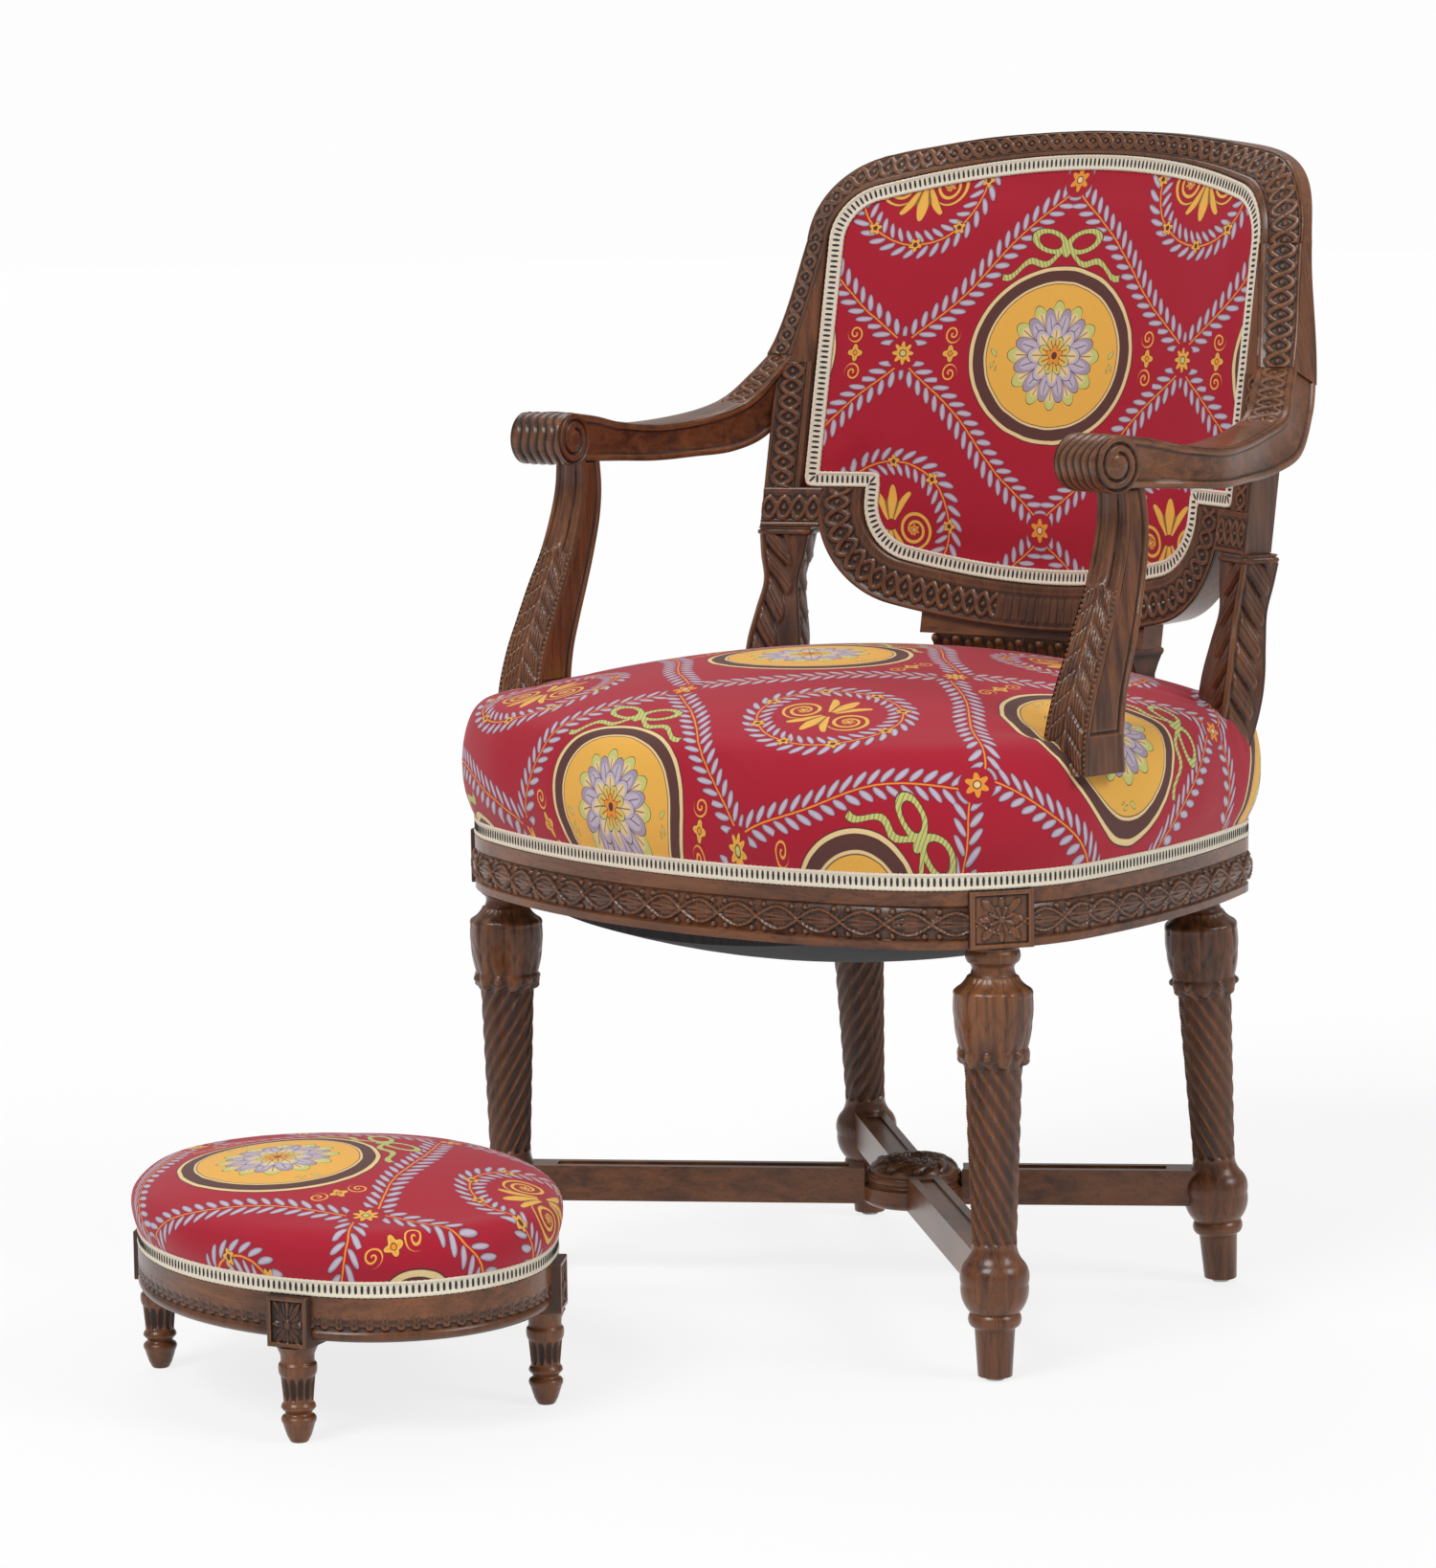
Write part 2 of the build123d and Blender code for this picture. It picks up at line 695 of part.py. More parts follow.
def back_slab(front, rear):
    """A layer of the back between two distances behind its face."""
    low_y = back_base_y - back_rake * (opening_bottom_z - rail_top_z) - back_dish_radius
    first = quarter_turn - dish_half_angle
    sweep_angle = dish_half_angle + dish_half_angle
    near = CenterArc((0, low_y), back_dish_radius + front, first, sweep_angle)
    far = CenterArc((0, low_y), back_dish_radius + rear, first, sweep_angle)
    face = Face(Wire([near, far, Line(near @ 0, far @ 0), Line(near @ 1, far @ 1)]))
    rise = crest_joint_z - rail_top_z + overrun
    return Solid.extrude(Pos(0, 0, rail_top_z) * face, Vector(0, back_rake * rise, rise))


def front_prism(face):
    """A front-view outline carried right through the back."""
    placed = Pos(0, seat_rear_y + overrun, 0) * (Plane.XZ * face)
    return Solid.extrude(placed.faces()[0], Vector(0, -overrun - overrun, 0))


def opening_face(margin):
    """The padded opening seen from the front, grown or shrunk by a margin."""
    edges = arc_edges(upper_half(crown_quarter, crest_joint_z))
    left = [(-opening_half_width, crest_joint_z), (-opening_half_width, shoulder_z)]
    left += [(-notch_half_width, shoulder_z), (-notch_half_width, notch_spring_z)]
    edges += Polyline(*left).edges()
    edges += arc_edges(lower_half(notch_quarter, notch_spring_z))
    edges += Polyline(*[(-x, z) for x, z in reversed(left)]).edges()
    face = Face(Wire(edges))
    if margin:
        face = offset(face, amount=margin, kind=Kind.INTERSECTION).faces()[0]
    return face


opening = front_prism(opening_face(0))
rebate = front_prism(opening_face(rebate_width)) & back_slab(pad_depth, frame_thickness + frame_thickness)
frame_layer = back_slab(-frame_proud, frame_thickness - frame_proud)


def four_sided(inner, outer, inner_back, outer_back):
    """A section of a strip, from its inner and outer front corners to its back ones."""
    corners = [inner, outer, outer + outer_back, inner + inner_back]
    return Face(Wire(Polyline(*corners, close=True)))


def on_face(x, z, behind):
    """A point some way behind the face of the back."""
    return Vector(x, back_y(x, z) + behind, z)


# Stile, crest rail and lower rail

def flare_sections():
    """Sections of a stile's splayed strip, from the arm joint up to the crest joint."""
    sections = []
    for rise_share, reach_share, splay_share, inner_share, outer_share, drop_share in FLARE_SHARES:
        z = flare_foot_z + flare_foot_drop * rise_share
        inner = on_face(opening_half_width - trim + (flare_reach + trim) * reach_share, z, -frame_proud)
        outer = on_face(crest_half_width + flare_reach * reach_share, z, flare_splay * splay_share)
        back = Vector(0, frame_depth, -frame_depth * drop_share)
        sections.append((inner, outer, back * inner_share, back * outer_share))
    return sections


def crest_sections():
    """Sections of the crest rail from its right joint over the top to its left joint."""
    inner_quarter = grown(crown_quarter, -trim)
    outer_quarter = corner_and_end(crest_half_width, crest_corner_radius, crest_bow)
    inner_back = Vector(0, frame_depth, 0)
    outer_back = inner_back * crest_outer_depth_share
    sections = []
    for arc_index, share, splay_share in CREST_SHARES:
        inner_x, inner_rise = point_on(inner_quarter[arc_index], share)
        outer_x, outer_rise = point_on(outer_quarter[arc_index], share)
        inner = on_face(inner_x, crest_joint_z + inner_rise, -frame_proud)
        outer = on_face(outer_x, crest_joint_z + outer_rise, flare_splay * splay_share)
        sections.append((inner, outer, inner_back, outer_back))
    for inner, outer, inner_back, outer_back in reversed(sections[:-1]):
        inner = Vector(-inner.X, inner.Y, inner.Z)
        outer = Vector(-outer.X, outer.Y, outer.Z)
        sections.append((inner, outer, inner_back, outer_back))
    return sections


def stile_body():
    """The right stile: a block below the arm, a straight part and the splayed strip."""
    flare_inner_x = opening_half_width + flare_reach
    outline = [
        (joint_x, stile_bottom_z), (stile_outer_x, stile_bottom_z), (stile_outer_x, flare_foot_z - arm_lap),
        (flare_inner_x, flare_foot_z), (opening_half_width, crest_joint_z),
        (opening_half_width, shoulder_z), (joint_x, shoulder_z),
    ]
    block = front_prism(Face(Wire(Polyline(*outline, close=True)))) & frame_layer
    strip = loft([four_sided(*section) for section in flare_sections()])
    return block, block + strip - opening - rebate


def lower_rail_body():
    """The rail round the foot of the opening, curved below and level at its shoulders."""
    half = notch_half_width + lower_rail_width
    edges = arc_edges(lower_half(grown(notch_quarter, lower_rail_width), notch_spring_z))
    top = [(half, notch_spring_z), (half, shoulder_z), (-half, shoulder_z), (-half, notch_spring_z)]
    edges += Polyline(*top).edges()
    between = Box(joint_x + joint_x, through, through)
    between = Pos(0, seat_rear_y, shoulder_z) * between
    return (front_prism(Face(Wire(edges))) & frame_layer & between) - opening - rebate


stile_block, stile = stile_body()
crest = loft([four_sided(*section) for section in crest_sections()]) - opening - rebate
lower_rail = lower_rail_body()


# Arms and their supports

flare_inner, flare_outer, flare_back, _ = flare_sections()[0]
arm_outer_x = seat_half_width + arm_overhang
neck_share = ARM_SHARES[0]
arm_rise = flare_foot_z - arm_low_z
neck_z = arm_low_z + arm_rise * neck_share[2]
neck_outer_x = arm_outer_x - (arm_outer_x - flare_outer.X) * neck_share[1]
neck_middle_x = neck_outer_x - arm_width * neck_share[3] / 2


def arm_sections():
    """Sections of the right arm from its neck to its joint with the stile."""
    sections = []
    for run_share, draw_share, rise_share, width_share, skew_share, back_share, drop_share in ARM_SHARES:
        outer_x = arm_outer_x - (arm_outer_x - flare_outer.X) * draw_share
        y = arm_front_y + (flare_inner.Y - arm_front_y) * run_share
        z = arm_low_z + arm_rise * rise_share
        inner = Vector(outer_x - arm_width * width_share, y, z)
        outer = Vector(outer_x, y + arm_skew * skew_share, z)
        back = Vector(0, arm_depth * back_share, -arm_depth * drop_share)
        sections.append((inner, outer, back, back))
    sections.append((flare_inner, flare_outer, flare_back, flare_back))
    return sections


def scroll_roll():
    """The rolled end of the right arm."""
    roll = Rot(0, quarter_turn, 0) * Cylinder(scroll_radius, scroll_width)
    place = Pos(neck_middle_x, arm_front_y - scroll_reach, neck_z - scroll_radius + scroll_rise)
    return place * Rot(0, 0, -scroll_turn) * roll


def support_body():
    """The right arm support, swept back as it rises, with its stub and peg in the seat."""
    top_z = neck_z - arm_depth + support_housing
    foot_x = seat_half_width - support_foot_inset
    top_x = neck_middle_x - support_lean_in
    sections = []
    for rise_share, sweep_share, lean_share, width_share, depth_share in SUPPORT_SHARES:
        x = foot_x + (top_x - foot_x) * lean_share
        y = support_foot_y + support_sweep * sweep_share
        z = support_base_z + (top_z - support_base_z) * rise_share
        section = Rectangle(support_width * width_share, support_depth * depth_share).faces()[0]
        sections.append(Pos(x, y, z) * Rot(0, 0, -support_turn) * section)
    stub_height = support_base_z - rail_top_z
    stub = Box(stub_width, stub_width, stub_height)
    peg = Box(peg_width, peg_width, peg_length + peg_length)
    stub_x = seat_half_width - stub_inset
    stub = Pos(stub_x, support_foot_y, rail_top_z + stub_height / 2) * stub
    return loft(sections) + stub + Pos(stub_x, support_foot_y, rail_top_z) * peg


support = support_body()
arm = loft([four_sided(*section) for section in arm_sections()]) + scroll_roll() - stile_block - support


# Posts, plinth and splat

def post_body():
    """The right post, from the side rail up to the foot of the stile."""
    foot_y = seat_rear_y - post_foot_forward
    foot_x = side_rail_middle_x(foot_y) + rail_thickness / 2 - post_foot_inset
    top_x = stile_outer_x - post_top_inset
    top_y = back_y(top_x, stile_bottom_z) + post_top_behind
    cap_z = stile_bottom_z - post_cap_height
    sections = []
    for rise_share, along_share, width_share, depth_share in POST_SHARES:
        x = foot_x + (top_x - foot_x) * along_share
        y = foot_y + (top_y - foot_y) * along_share
        z = rail_top_z + (cap_z - rail_top_z) * rise_share
        section = Rectangle(post_width * width_share, post_depth * depth_share).faces()[0]
        sections.append(Pos(x, y, z) * Rot(0, 0, -post_turn) * section)
    cap = Pos(top_x, top_y, stile_bottom_z - post_cap_height / 2) * Rot(0, 0, -post_turn)
    cap = cap * Box(post_width, post_depth, post_cap_height)
    peg = Box(peg_width, peg_width, peg_length)
    foot_peg = Pos(foot_x, foot_y, rail_top_z - peg_length / 2) * Rot(0, 0, -post_turn) * peg
    head_peg = Pos(top_x, top_y, stile_bottom_z + peg_length / 2) * Rot(0, 0, -post_turn) * peg
    return loft(sections) + (cap + head_peg) + foot_peg


def plinth_body():
    """Moulding under the middle of the lower rail."""
    plinth = Box(plinth_half_width + plinth_half_width, overrun, plinth_height)
    low_z = opening_bottom_z - plinth_bottom_drop
    plinth = Pos(0, back_base_y, low_z + plinth_height / 2) * plinth
    return (plinth & back_slab(plinth_front_offset, plinth_front_offset + plinth_depth)) - lower_rail


def splat_body():
    """Carved splat standing on the rear rail, curved like the back, with a tenon below."""
    top_z = opening_bottom_z - plinth_bottom_drop
    centre_y = seat_rear_y - splat_setback - splat_depth - back_dish_radius
    first = quarter_turn - dish_half_angle
    sweep_angle = dish_half_angle + dish_half_angle
    near = CenterArc((0, centre_y), back_dish_radius, first, sweep_angle)
    far = CenterArc((0, centre_y), back_dish_radius + splat_depth, first, sweep_angle)
    face = Face(Wire([near, far, Line(near @ 0, far @ 0), Line(near @ 1, far @ 1)]))
    curve = Solid.extrude(Pos(0, 0, rail_bottom_z) * face, Vector(0, 0, top_z - rail_bottom_z))
    block = Box(splat_half_width + splat_half_width, overrun, top_z - rail_top_z)
    block = Pos(0, seat_rear_y, (top_z + rail_top_z) / 2) * block
    tenon_y = seat_rear_y - splat_setback - splat_depth / 2
    tenon = Box(splat_tenon_half_width, splat_tenon_depth, splat_tenon_length + splat_tenon_length)
    return (curve & block) + Pos(0, tenon_y, rail_top_z) * tenon


post = post_body()
splat = splat_body()
pieces["back_plinth"] = plinth_body()
pieces["back_splat"] = splat
pieces["crest_rail"] = crest
pieces["lower_back_rail"] = lower_rail
pieces["rear_seat_rail"] = pieces["rear_seat_rail"] - splat
for side in ("right", "left"):
    right = side == "right"
    pieces[side + "_rear_post"] = post if right else mirrored(post)
    pieces[side + "_stile"] = (stile - post) if right else mirrored(stile - post)
    pieces[side + "_arm"] = arm if right else mirrored(arm)
    pieces[side + "_arm_support"] = support if right else mirrored(support)
    rail = pieces[side + "_seat_rail"] - pieces[side + "_arm_support"] - pieces[side + "_rear_post"]
    pieces[side + "_seat_rail"] = rail


# Seat upholstery

def webbing_net(arcs, middle_y, half_width, half_depth, strip, gap):
    """Webbing cut to a plan, with its gaps."""
    net = Face(Wire(arc_edges(arcs)))
    for hole in grid_holes(half_width * cavity_share, half_depth * cavity_share, strip, gap):
        net = net - Pos(0, middle_y, 0) * hole
    return net.faces()[0]


spring_steps = spring_turns + spring_turns
spring_step_rise = (spring_height - spring_wire_radius - spring_wire_radius) / spring_steps


def coil(x, y, low_z):
    """One spring: a tube wound up in half turns."""
    arcs = []
    for step in range(spring_steps):
        points = []
        for share in (0, 0.5, 1):
            out_x, out_y = unit((step + share) * half_turn)
            z = low_z + spring_wire_radius + (step + share) * spring_step_rise
            points.append((x + spring_radius * out_x, y + spring_radius * out_y, z))
        arcs.append(ThreePointArc(*points))
    path = Wire(arcs)
    section = Plane(origin=path @ 0, z_dir=path % 0) * Circle(spring_wire_radius)
    return sweep(section, path)


def least_gap(steps_round):
    """The least clear gap between one turn of a spring and the next, measured on points."""
    rise = (spring_step_rise + spring_step_rise) / steps_round
    points = []
    for index in range(steps_round * spring_turns + 1):
        out_x, out_y = unit(whole_turn * index / steps_round)
        points.append((spring_radius * out_x, spring_radius * out_y, rise * index))
    apart = steps_round // 2
    centre_gaps = []
    for index, point in enumerate(points):
        for other in points[index + apart:]:
            centre_gaps.append(math.dist(point, other))
    return min(centre_gaps) - spring_wire_radius - spring_wire_radius


seat_half_depth = (seat_rear_y - seat_front_y) / 2
net_plan = grown(seat_plan, -webbing_inset)
net = webbing_net(net_plan, seat_middle_y, seat_half_width, seat_half_depth, webbing_width, webbing_gap)
net_z = rail_bottom_z - webbing_thickness
webbing = Solid.extrude(Pos(0, 0, net_z) * net, Vector(0, 0, webbing_thickness))
for name in corner_names:
    webbing = webbing - pieces[name + "_leg"]
pieces["seat_webbing"] = webbing

hessian_z = rail_bottom_z + spring_height
cavity_height = hessian_z - rail_top_z + hessian_thickness
cavity_plan = scaled(seat_plan, seat_middle_y, cavity_share)
cavity = plan_plate(cavity_plan, rail_top_z, cavity_height)
hessian = plan_plate(cavity_plan, hessian_z, hessian_thickness)
pieces["spring_hessian"] = hessian

springs = [coil(0, seat_middle_y, rail_bottom_z)]
for index in range(springs_round):
    out_x, out_y = unit(whole_turn * index / springs_round)
    place_x = spring_ring_radius * out_x
    springs.append(coil(place_x, seat_middle_y + spring_ring_radius * out_y, rail_bottom_z))
pieces["seat_springs"] = Part(children=springs)
print("least gap of a spring to itself", least_gap(points_to_a_turn))

gimp_section = Face.make_rect(gimp_thickness, gimp_width)
seat_gimp = plan_ring(seat_plan, Pos(-gimp_thickness / 2, rail_top_z + gimp_width / 2, 0) * gimp_section)
pieces["seat_gimp"] = seat_gimp

cushion = crowned_cushion(seat_plan, seat_middle_y, rail_top_z, (
    seat_tuck, seat_bulge, seat_side_height, seat_shoulder_height,
    seat_rear_corner_radius - seat_shoulder_core, seat_crown_height, seat_crown_radius,
))
cushion = cushion - cavity - seat_gimp
for name in ("right_arm_support", "left_arm_support", "right_rear_post", "left_rear_post", "back_splat"):
    cushion = cushion - pieces[name]
pieces["seat_cushion"] = cushion

cover_z = net_z - dust_cover_drop
cover_plan = scaled(seat_plan, seat_middle_y, dust_cover_share)
cover_middle = Pos(0, seat_middle_y, cover_z + dust_cover_radius)
cover = plan_plate(cover_plan, cover_z, dust_cover_drop) & (cover_middle * Sphere(dust_cover_radius))
hollow = plan_plate(grown(cover_plan, -dust_cover_thickness), cover_z, dust_cover_drop)
hollow = hollow & (cover_middle * Sphere(dust_cover_radius - dust_cover_thickness))
cover = cover - hollow
for name in corner_names:
    cover = cover - pieces[name + "_leg"]
pieces["dust_cover"] = cover


# Back upholstery

def crowned_body():
    """The crowned front of the back pad: an arc swept across the dish."""
    middle_z = (opening_bottom_z + crest_joint_z + opening_corner_radius + opening_bow) / 2
    front_y = back_y(0, middle_z) - pad_crown
    tilt = math.degrees(math.atan(back_rake))
    half = overrun
    sag = pad_crown_radius - math.sqrt(pad_crown_radius ** 2 - half ** 2)
    near = ThreePointArc((pad_dish_radius + sag, -half), (pad_dish_radius, 0), (pad_dish_radius + sag, half))
    far_x = pad_dish_radius + overrun / 2
    rest = Polyline(near @ 1, (far_x, half), (far_x, -half), near @ 0)
    profile = Face(Wire([near, *rest.edges()]))
    body = revolve(Plane.XZ * profile, Axis.Z, dish_half_angle + dish_half_angle)
    body = Rot(0, 0, quarter_turn - dish_half_angle) * body
    return Pos(0, front_y - pad_dish_radius, middle_z) * Rot(-tilt, 0, 0) * body


inner_opening = front_prism(opening_face(-gimp_width))
edge_layer = back_slab(gimp_thickness - frame_proud, pad_depth)
crown_layer = back_slab(-overrun / 2, pad_depth)
back_gimp = (opening - inner_opening) & back_slab(-frame_proud, gimp_thickness - frame_proud)
pad = (opening & edge_layer) + (inner_opening & crowned_body() & crown_layer)
pieces["back_gimp"] = back_gimp
pieces["back_pad"] = pad

back_net = opening_face(rebate_width - back_webbing_inset)
back_middle_z = (shoulder_z + crest_joint_z) / 2
back_half_height = (crest_joint_z - shoulder_z) / 2
for hole in grid_holes(opening_half_width, back_half_height, back_webbing_width, back_webbing_gap):
    back_net = back_net - Pos(0, back_middle_z, 0) * hole
pieces["back_webbing"] = front_prism(back_net) & back_slab(pad_depth, pad_depth + webbing_thickness)
cover_layer = back_slab(back_cover_offset, back_cover_offset + back_cover_thickness)
pieces["back_outside_cover"] = front_prism(opening_face(rebate_width)) & cover_layer


# Footstool

stool_quarter = corner_and_end(stool_half_length, stool_corner_radius, stool_bow)
stool_plan = upper_half(stool_quarter, 0) + lower_half(stool_quarter, 0)
stool_half_depth = stool_corner_radius + stool_bow
stool_rail_top_z = stool_rail_bottom_z + stool_rail_height
stool_rail_middle_z = stool_rail_bottom_z + stool_rail_height / 2
stool_leg_height = stool_rail_bottom_z - stool_block_drop
stool_place = Pos(stool_x, stool_y, 0) * Rot(0, 0, stool_turn)


def stool_rail_section():
    """Rail mouldings of the footstool: a flat band over an ogee."""
    band_z = stool_rail_top_z - stool_fascia_height
    foot = (-stool_ogee_depth, stool_rail_bottom_z)
    waist = (-stool_ogee_depth / 2, (band_z + stool_rail_bottom_z) / 2)
    bulge = (-stool_ogee_depth * ogee_bulge_share, waist[1] + (band_z - waist[1]) * ogee_rise_share)
    inner_x = -stool_rail_thickness
    edges = Polyline(foot, (inner_x, stool_rail_bottom_z), (inner_x, stool_rail_top_z)).edges()
    edges += Polyline((inner_x, stool_rail_top_z), (0, stool_rail_top_z), (0, band_z)).edges()
    edges += [ThreePointArc((0, band_z), bulge, waist), Line(waist, foot)]
    return Face(Wire(edges))


stool_right = corner_on(stool_quarter[-1], stool_leg_angle, stool_leg_inset, 0)
stool_corners = [
    Corner(stool_right.x, -stool_right.y, -stool_leg_angle, stool_leg_inset),
    stool_right,
    Corner(-stool_right.x, stool_right.y, half_turn - stool_leg_angle, stool_leg_inset),
    Corner(-stool_right.x, -stool_right.y, half_turn + stool_leg_angle, stool_leg_inset),
]
stool_block_height = stool_rail_top_z - stool_leg_height
stool_block_sizes = (
    stool_block_reach, stool_block_proud, stool_block_width, stool_leg_height, stool_block_height,
)
stool_blocks = [corner_block(corner, *stool_block_sizes) for corner in stool_corners]
stool_rails, stool_blocks = framed(
    stool_plan, stool_rail_section(), stool_corners, stool_blocks, stool_rail_thickness, stool_block_width,
    (stool_tenon_length, stool_tenon_height, stool_tenon_thickness), stool_rail_middle_z,
)
for name, corner, block in zip(corner_names, stool_corners, stool_blocks):
    foot = (corner.x, corner.y, 0)
    top = (corner.x, corner.y, stool_leg_height)
    turning = leg_turning(STOOL_LEG_SHARES, foot, top, stool_leg_radius, 0)
    pieces["stool_" + name + "_leg"] = stool_place * (turning + block)
for name, rail in zip(["right", "rear", "left", "front"], stool_rails):
    pieces["stool_" + name + "_rail"] = stool_place * rail

stool_net = webbing_net(
    grown(stool_plan, -stool_webbing_inset), 0, stool_half_length, stool_half_depth,
    stool_webbing_width, stool_webbing_gap)
stool_net = Solid.extrude(Pos(0, 0, stool_rail_top_z) * stool_net, Vector(0, 0, webbing_thickness))
stool_gimp_section = Face.make_rect(gimp_thickness, stool_gimp_width)
stool_gimp_place = Pos(-gimp_thickness / 2, stool_rail_top_z + stool_gimp_width / 2, 0)
stool_gimp = plan_ring(stool_plan, stool_gimp_place * stool_gimp_section)
stool_cushion = crowned_cushion(stool_plan, 0, stool_rail_top_z, (
    stool_tuck, stool_bulge, stool_side_height, stool_shoulder_height,
    stool_shoulder_depth, stool_crown_height, stool_crown_radius,
))
stool_cloth_plan = grown(stool_plan, -stool_cloth_inset)
stool_cloth = plan_plate(stool_cloth_plan, stool_rail_bottom_z - webbing_thickness, webbing_thickness)
for block in stool_blocks:
    stool_cloth = stool_cloth - block
pieces["stool_webbing"] = stool_place * stool_net
pieces["stool_gimp"] = stool_place * stool_gimp
pieces["stool_cushion"] = stool_place * (stool_cushion - stool_net - stool_gimp)
pieces["stool_bottom_cloth"] = stool_place * stool_cloth


# The pair stands with the middle of its footprint at the origin

solids = [Part(children=list(piece.solids())) for piece in pieces.values()]
footprint = Compound(children=solids).bounding_box()
shift = Pos(-footprint.center().X, -footprint.center().Y, 0)
os.makedirs("parts", exist_ok=True)
for name, piece in pieces.items():
    export_step(shift * piece, "parts/" + name + ".step")
print("size", footprint.size, "shift", footprint.center())
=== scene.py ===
"""An open armchair with a dished back and a low oval footstool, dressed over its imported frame."""
import math

import bmesh
import bpy
import numpy as np
from mathutils import Matrix, Vector
from mathutils.bvhtree import BVHTree


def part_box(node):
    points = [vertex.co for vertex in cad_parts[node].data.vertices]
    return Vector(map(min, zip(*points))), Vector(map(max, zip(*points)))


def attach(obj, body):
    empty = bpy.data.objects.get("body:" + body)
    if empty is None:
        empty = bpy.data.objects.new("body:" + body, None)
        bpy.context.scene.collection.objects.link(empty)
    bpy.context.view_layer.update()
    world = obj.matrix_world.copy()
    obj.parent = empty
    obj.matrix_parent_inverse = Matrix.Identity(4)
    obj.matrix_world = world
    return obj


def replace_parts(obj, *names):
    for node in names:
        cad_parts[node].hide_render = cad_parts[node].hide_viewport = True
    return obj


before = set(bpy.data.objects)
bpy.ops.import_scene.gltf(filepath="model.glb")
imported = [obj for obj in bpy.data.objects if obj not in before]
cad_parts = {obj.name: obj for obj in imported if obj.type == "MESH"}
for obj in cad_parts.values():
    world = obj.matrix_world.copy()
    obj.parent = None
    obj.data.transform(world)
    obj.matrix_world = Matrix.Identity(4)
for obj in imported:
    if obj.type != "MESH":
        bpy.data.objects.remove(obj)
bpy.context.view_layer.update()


# The camera stands a little to the right of the front, at about the height of the back, and looks
# slightly down with a long lens. Its place is measured from the middle of the stretcher.

hub_low, hub_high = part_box("stretcher_hub")
hub_forward = 0.067
shift_y = (hub_low.y + hub_high.y) / 2 - hub_forward

camera_azimuth = math.radians(44.0492)
camera_pitch = math.radians(-7.4343)
camera_roll = math.radians(-0.7382)
camera_target = Vector((-0.05818, -0.10445 + shift_y, 0))
camera_distance = 3.9128
camera_height = 0.9448
camera_focal_px = 5047.72
photo_long_px = 1638
sensor_mm = 36

heading = Vector((-math.sin(camera_azimuth), math.cos(camera_azimuth), 0))
level_right = Vector((math.cos(camera_azimuth), math.sin(camera_azimuth), 0))
forward = heading * math.cos(camera_pitch) + Vector((0, 0, math.sin(camera_pitch)))
level_up = level_right.cross(forward)
right = level_right * math.cos(camera_roll) + level_up * math.sin(camera_roll)
up = level_up * math.cos(camera_roll) - level_right * math.sin(camera_roll)

lens = bpy.data.cameras.new("camera")
lens.sensor_width = sensor_mm
lens.lens = camera_focal_px * sensor_mm / photo_long_px
lens.clip_start, lens.clip_end = 0.1, 100
camera = bpy.data.objects.new("camera", lens)
bpy.context.scene.collection.objects.link(camera)
camera.rotation_mode = "QUATERNION"
camera.location = camera_target - heading * camera_distance + Vector((0, 0, camera_height))
turn = [[right[i], up[i], -forward[i]] for i in range(3)]
camera.rotation_quaternion = Matrix(turn).to_quaternion()
bpy.context.scene.camera = camera


# The floor is a wide pale disc. Rays from the camera and from gloss see it nearly white, and the
# object still leaves its soft shadow on it.

class Socket:
    """A shader socket that takes part in Python sums."""

    def __init__(self, finish, socket):
        self.finish = finish
        self.socket = socket

    def maths(self, operation, *values):
        return self.finish.node("ShaderNodeMath", {"operation": operation}, values)

    def __add__(self, other):
        return self.maths("ADD", self, other)

    def __sub__(self, other):
        return self.maths("SUBTRACT", self, other)

    def __rsub__(self, other):
        return self.maths("SUBTRACT", other, self)

    def __mul__(self, other):
        return self.maths("MULTIPLY", self, other)

    def __truediv__(self, other):
        return self.maths("DIVIDE", self, other)

    def __pow__(self, other):
        return self.maths("POWER", self, other)

    def __abs__(self):
        return self.maths("ABSOLUTE", self)

    def __mod__(self, other):
        return self.maths("FLOORED_MODULO", self, other)

    __radd__ = __add__
    __rmul__ = __mul__

    def least(self, other):
        return self.maths("MINIMUM", self, other)

    def most(self, other):
        return self.maths("MAXIMUM", self, other)

    def clipped(self):
        return self.maths("MAXIMUM", self.maths("MINIMUM", self, 1.0), 0.0)


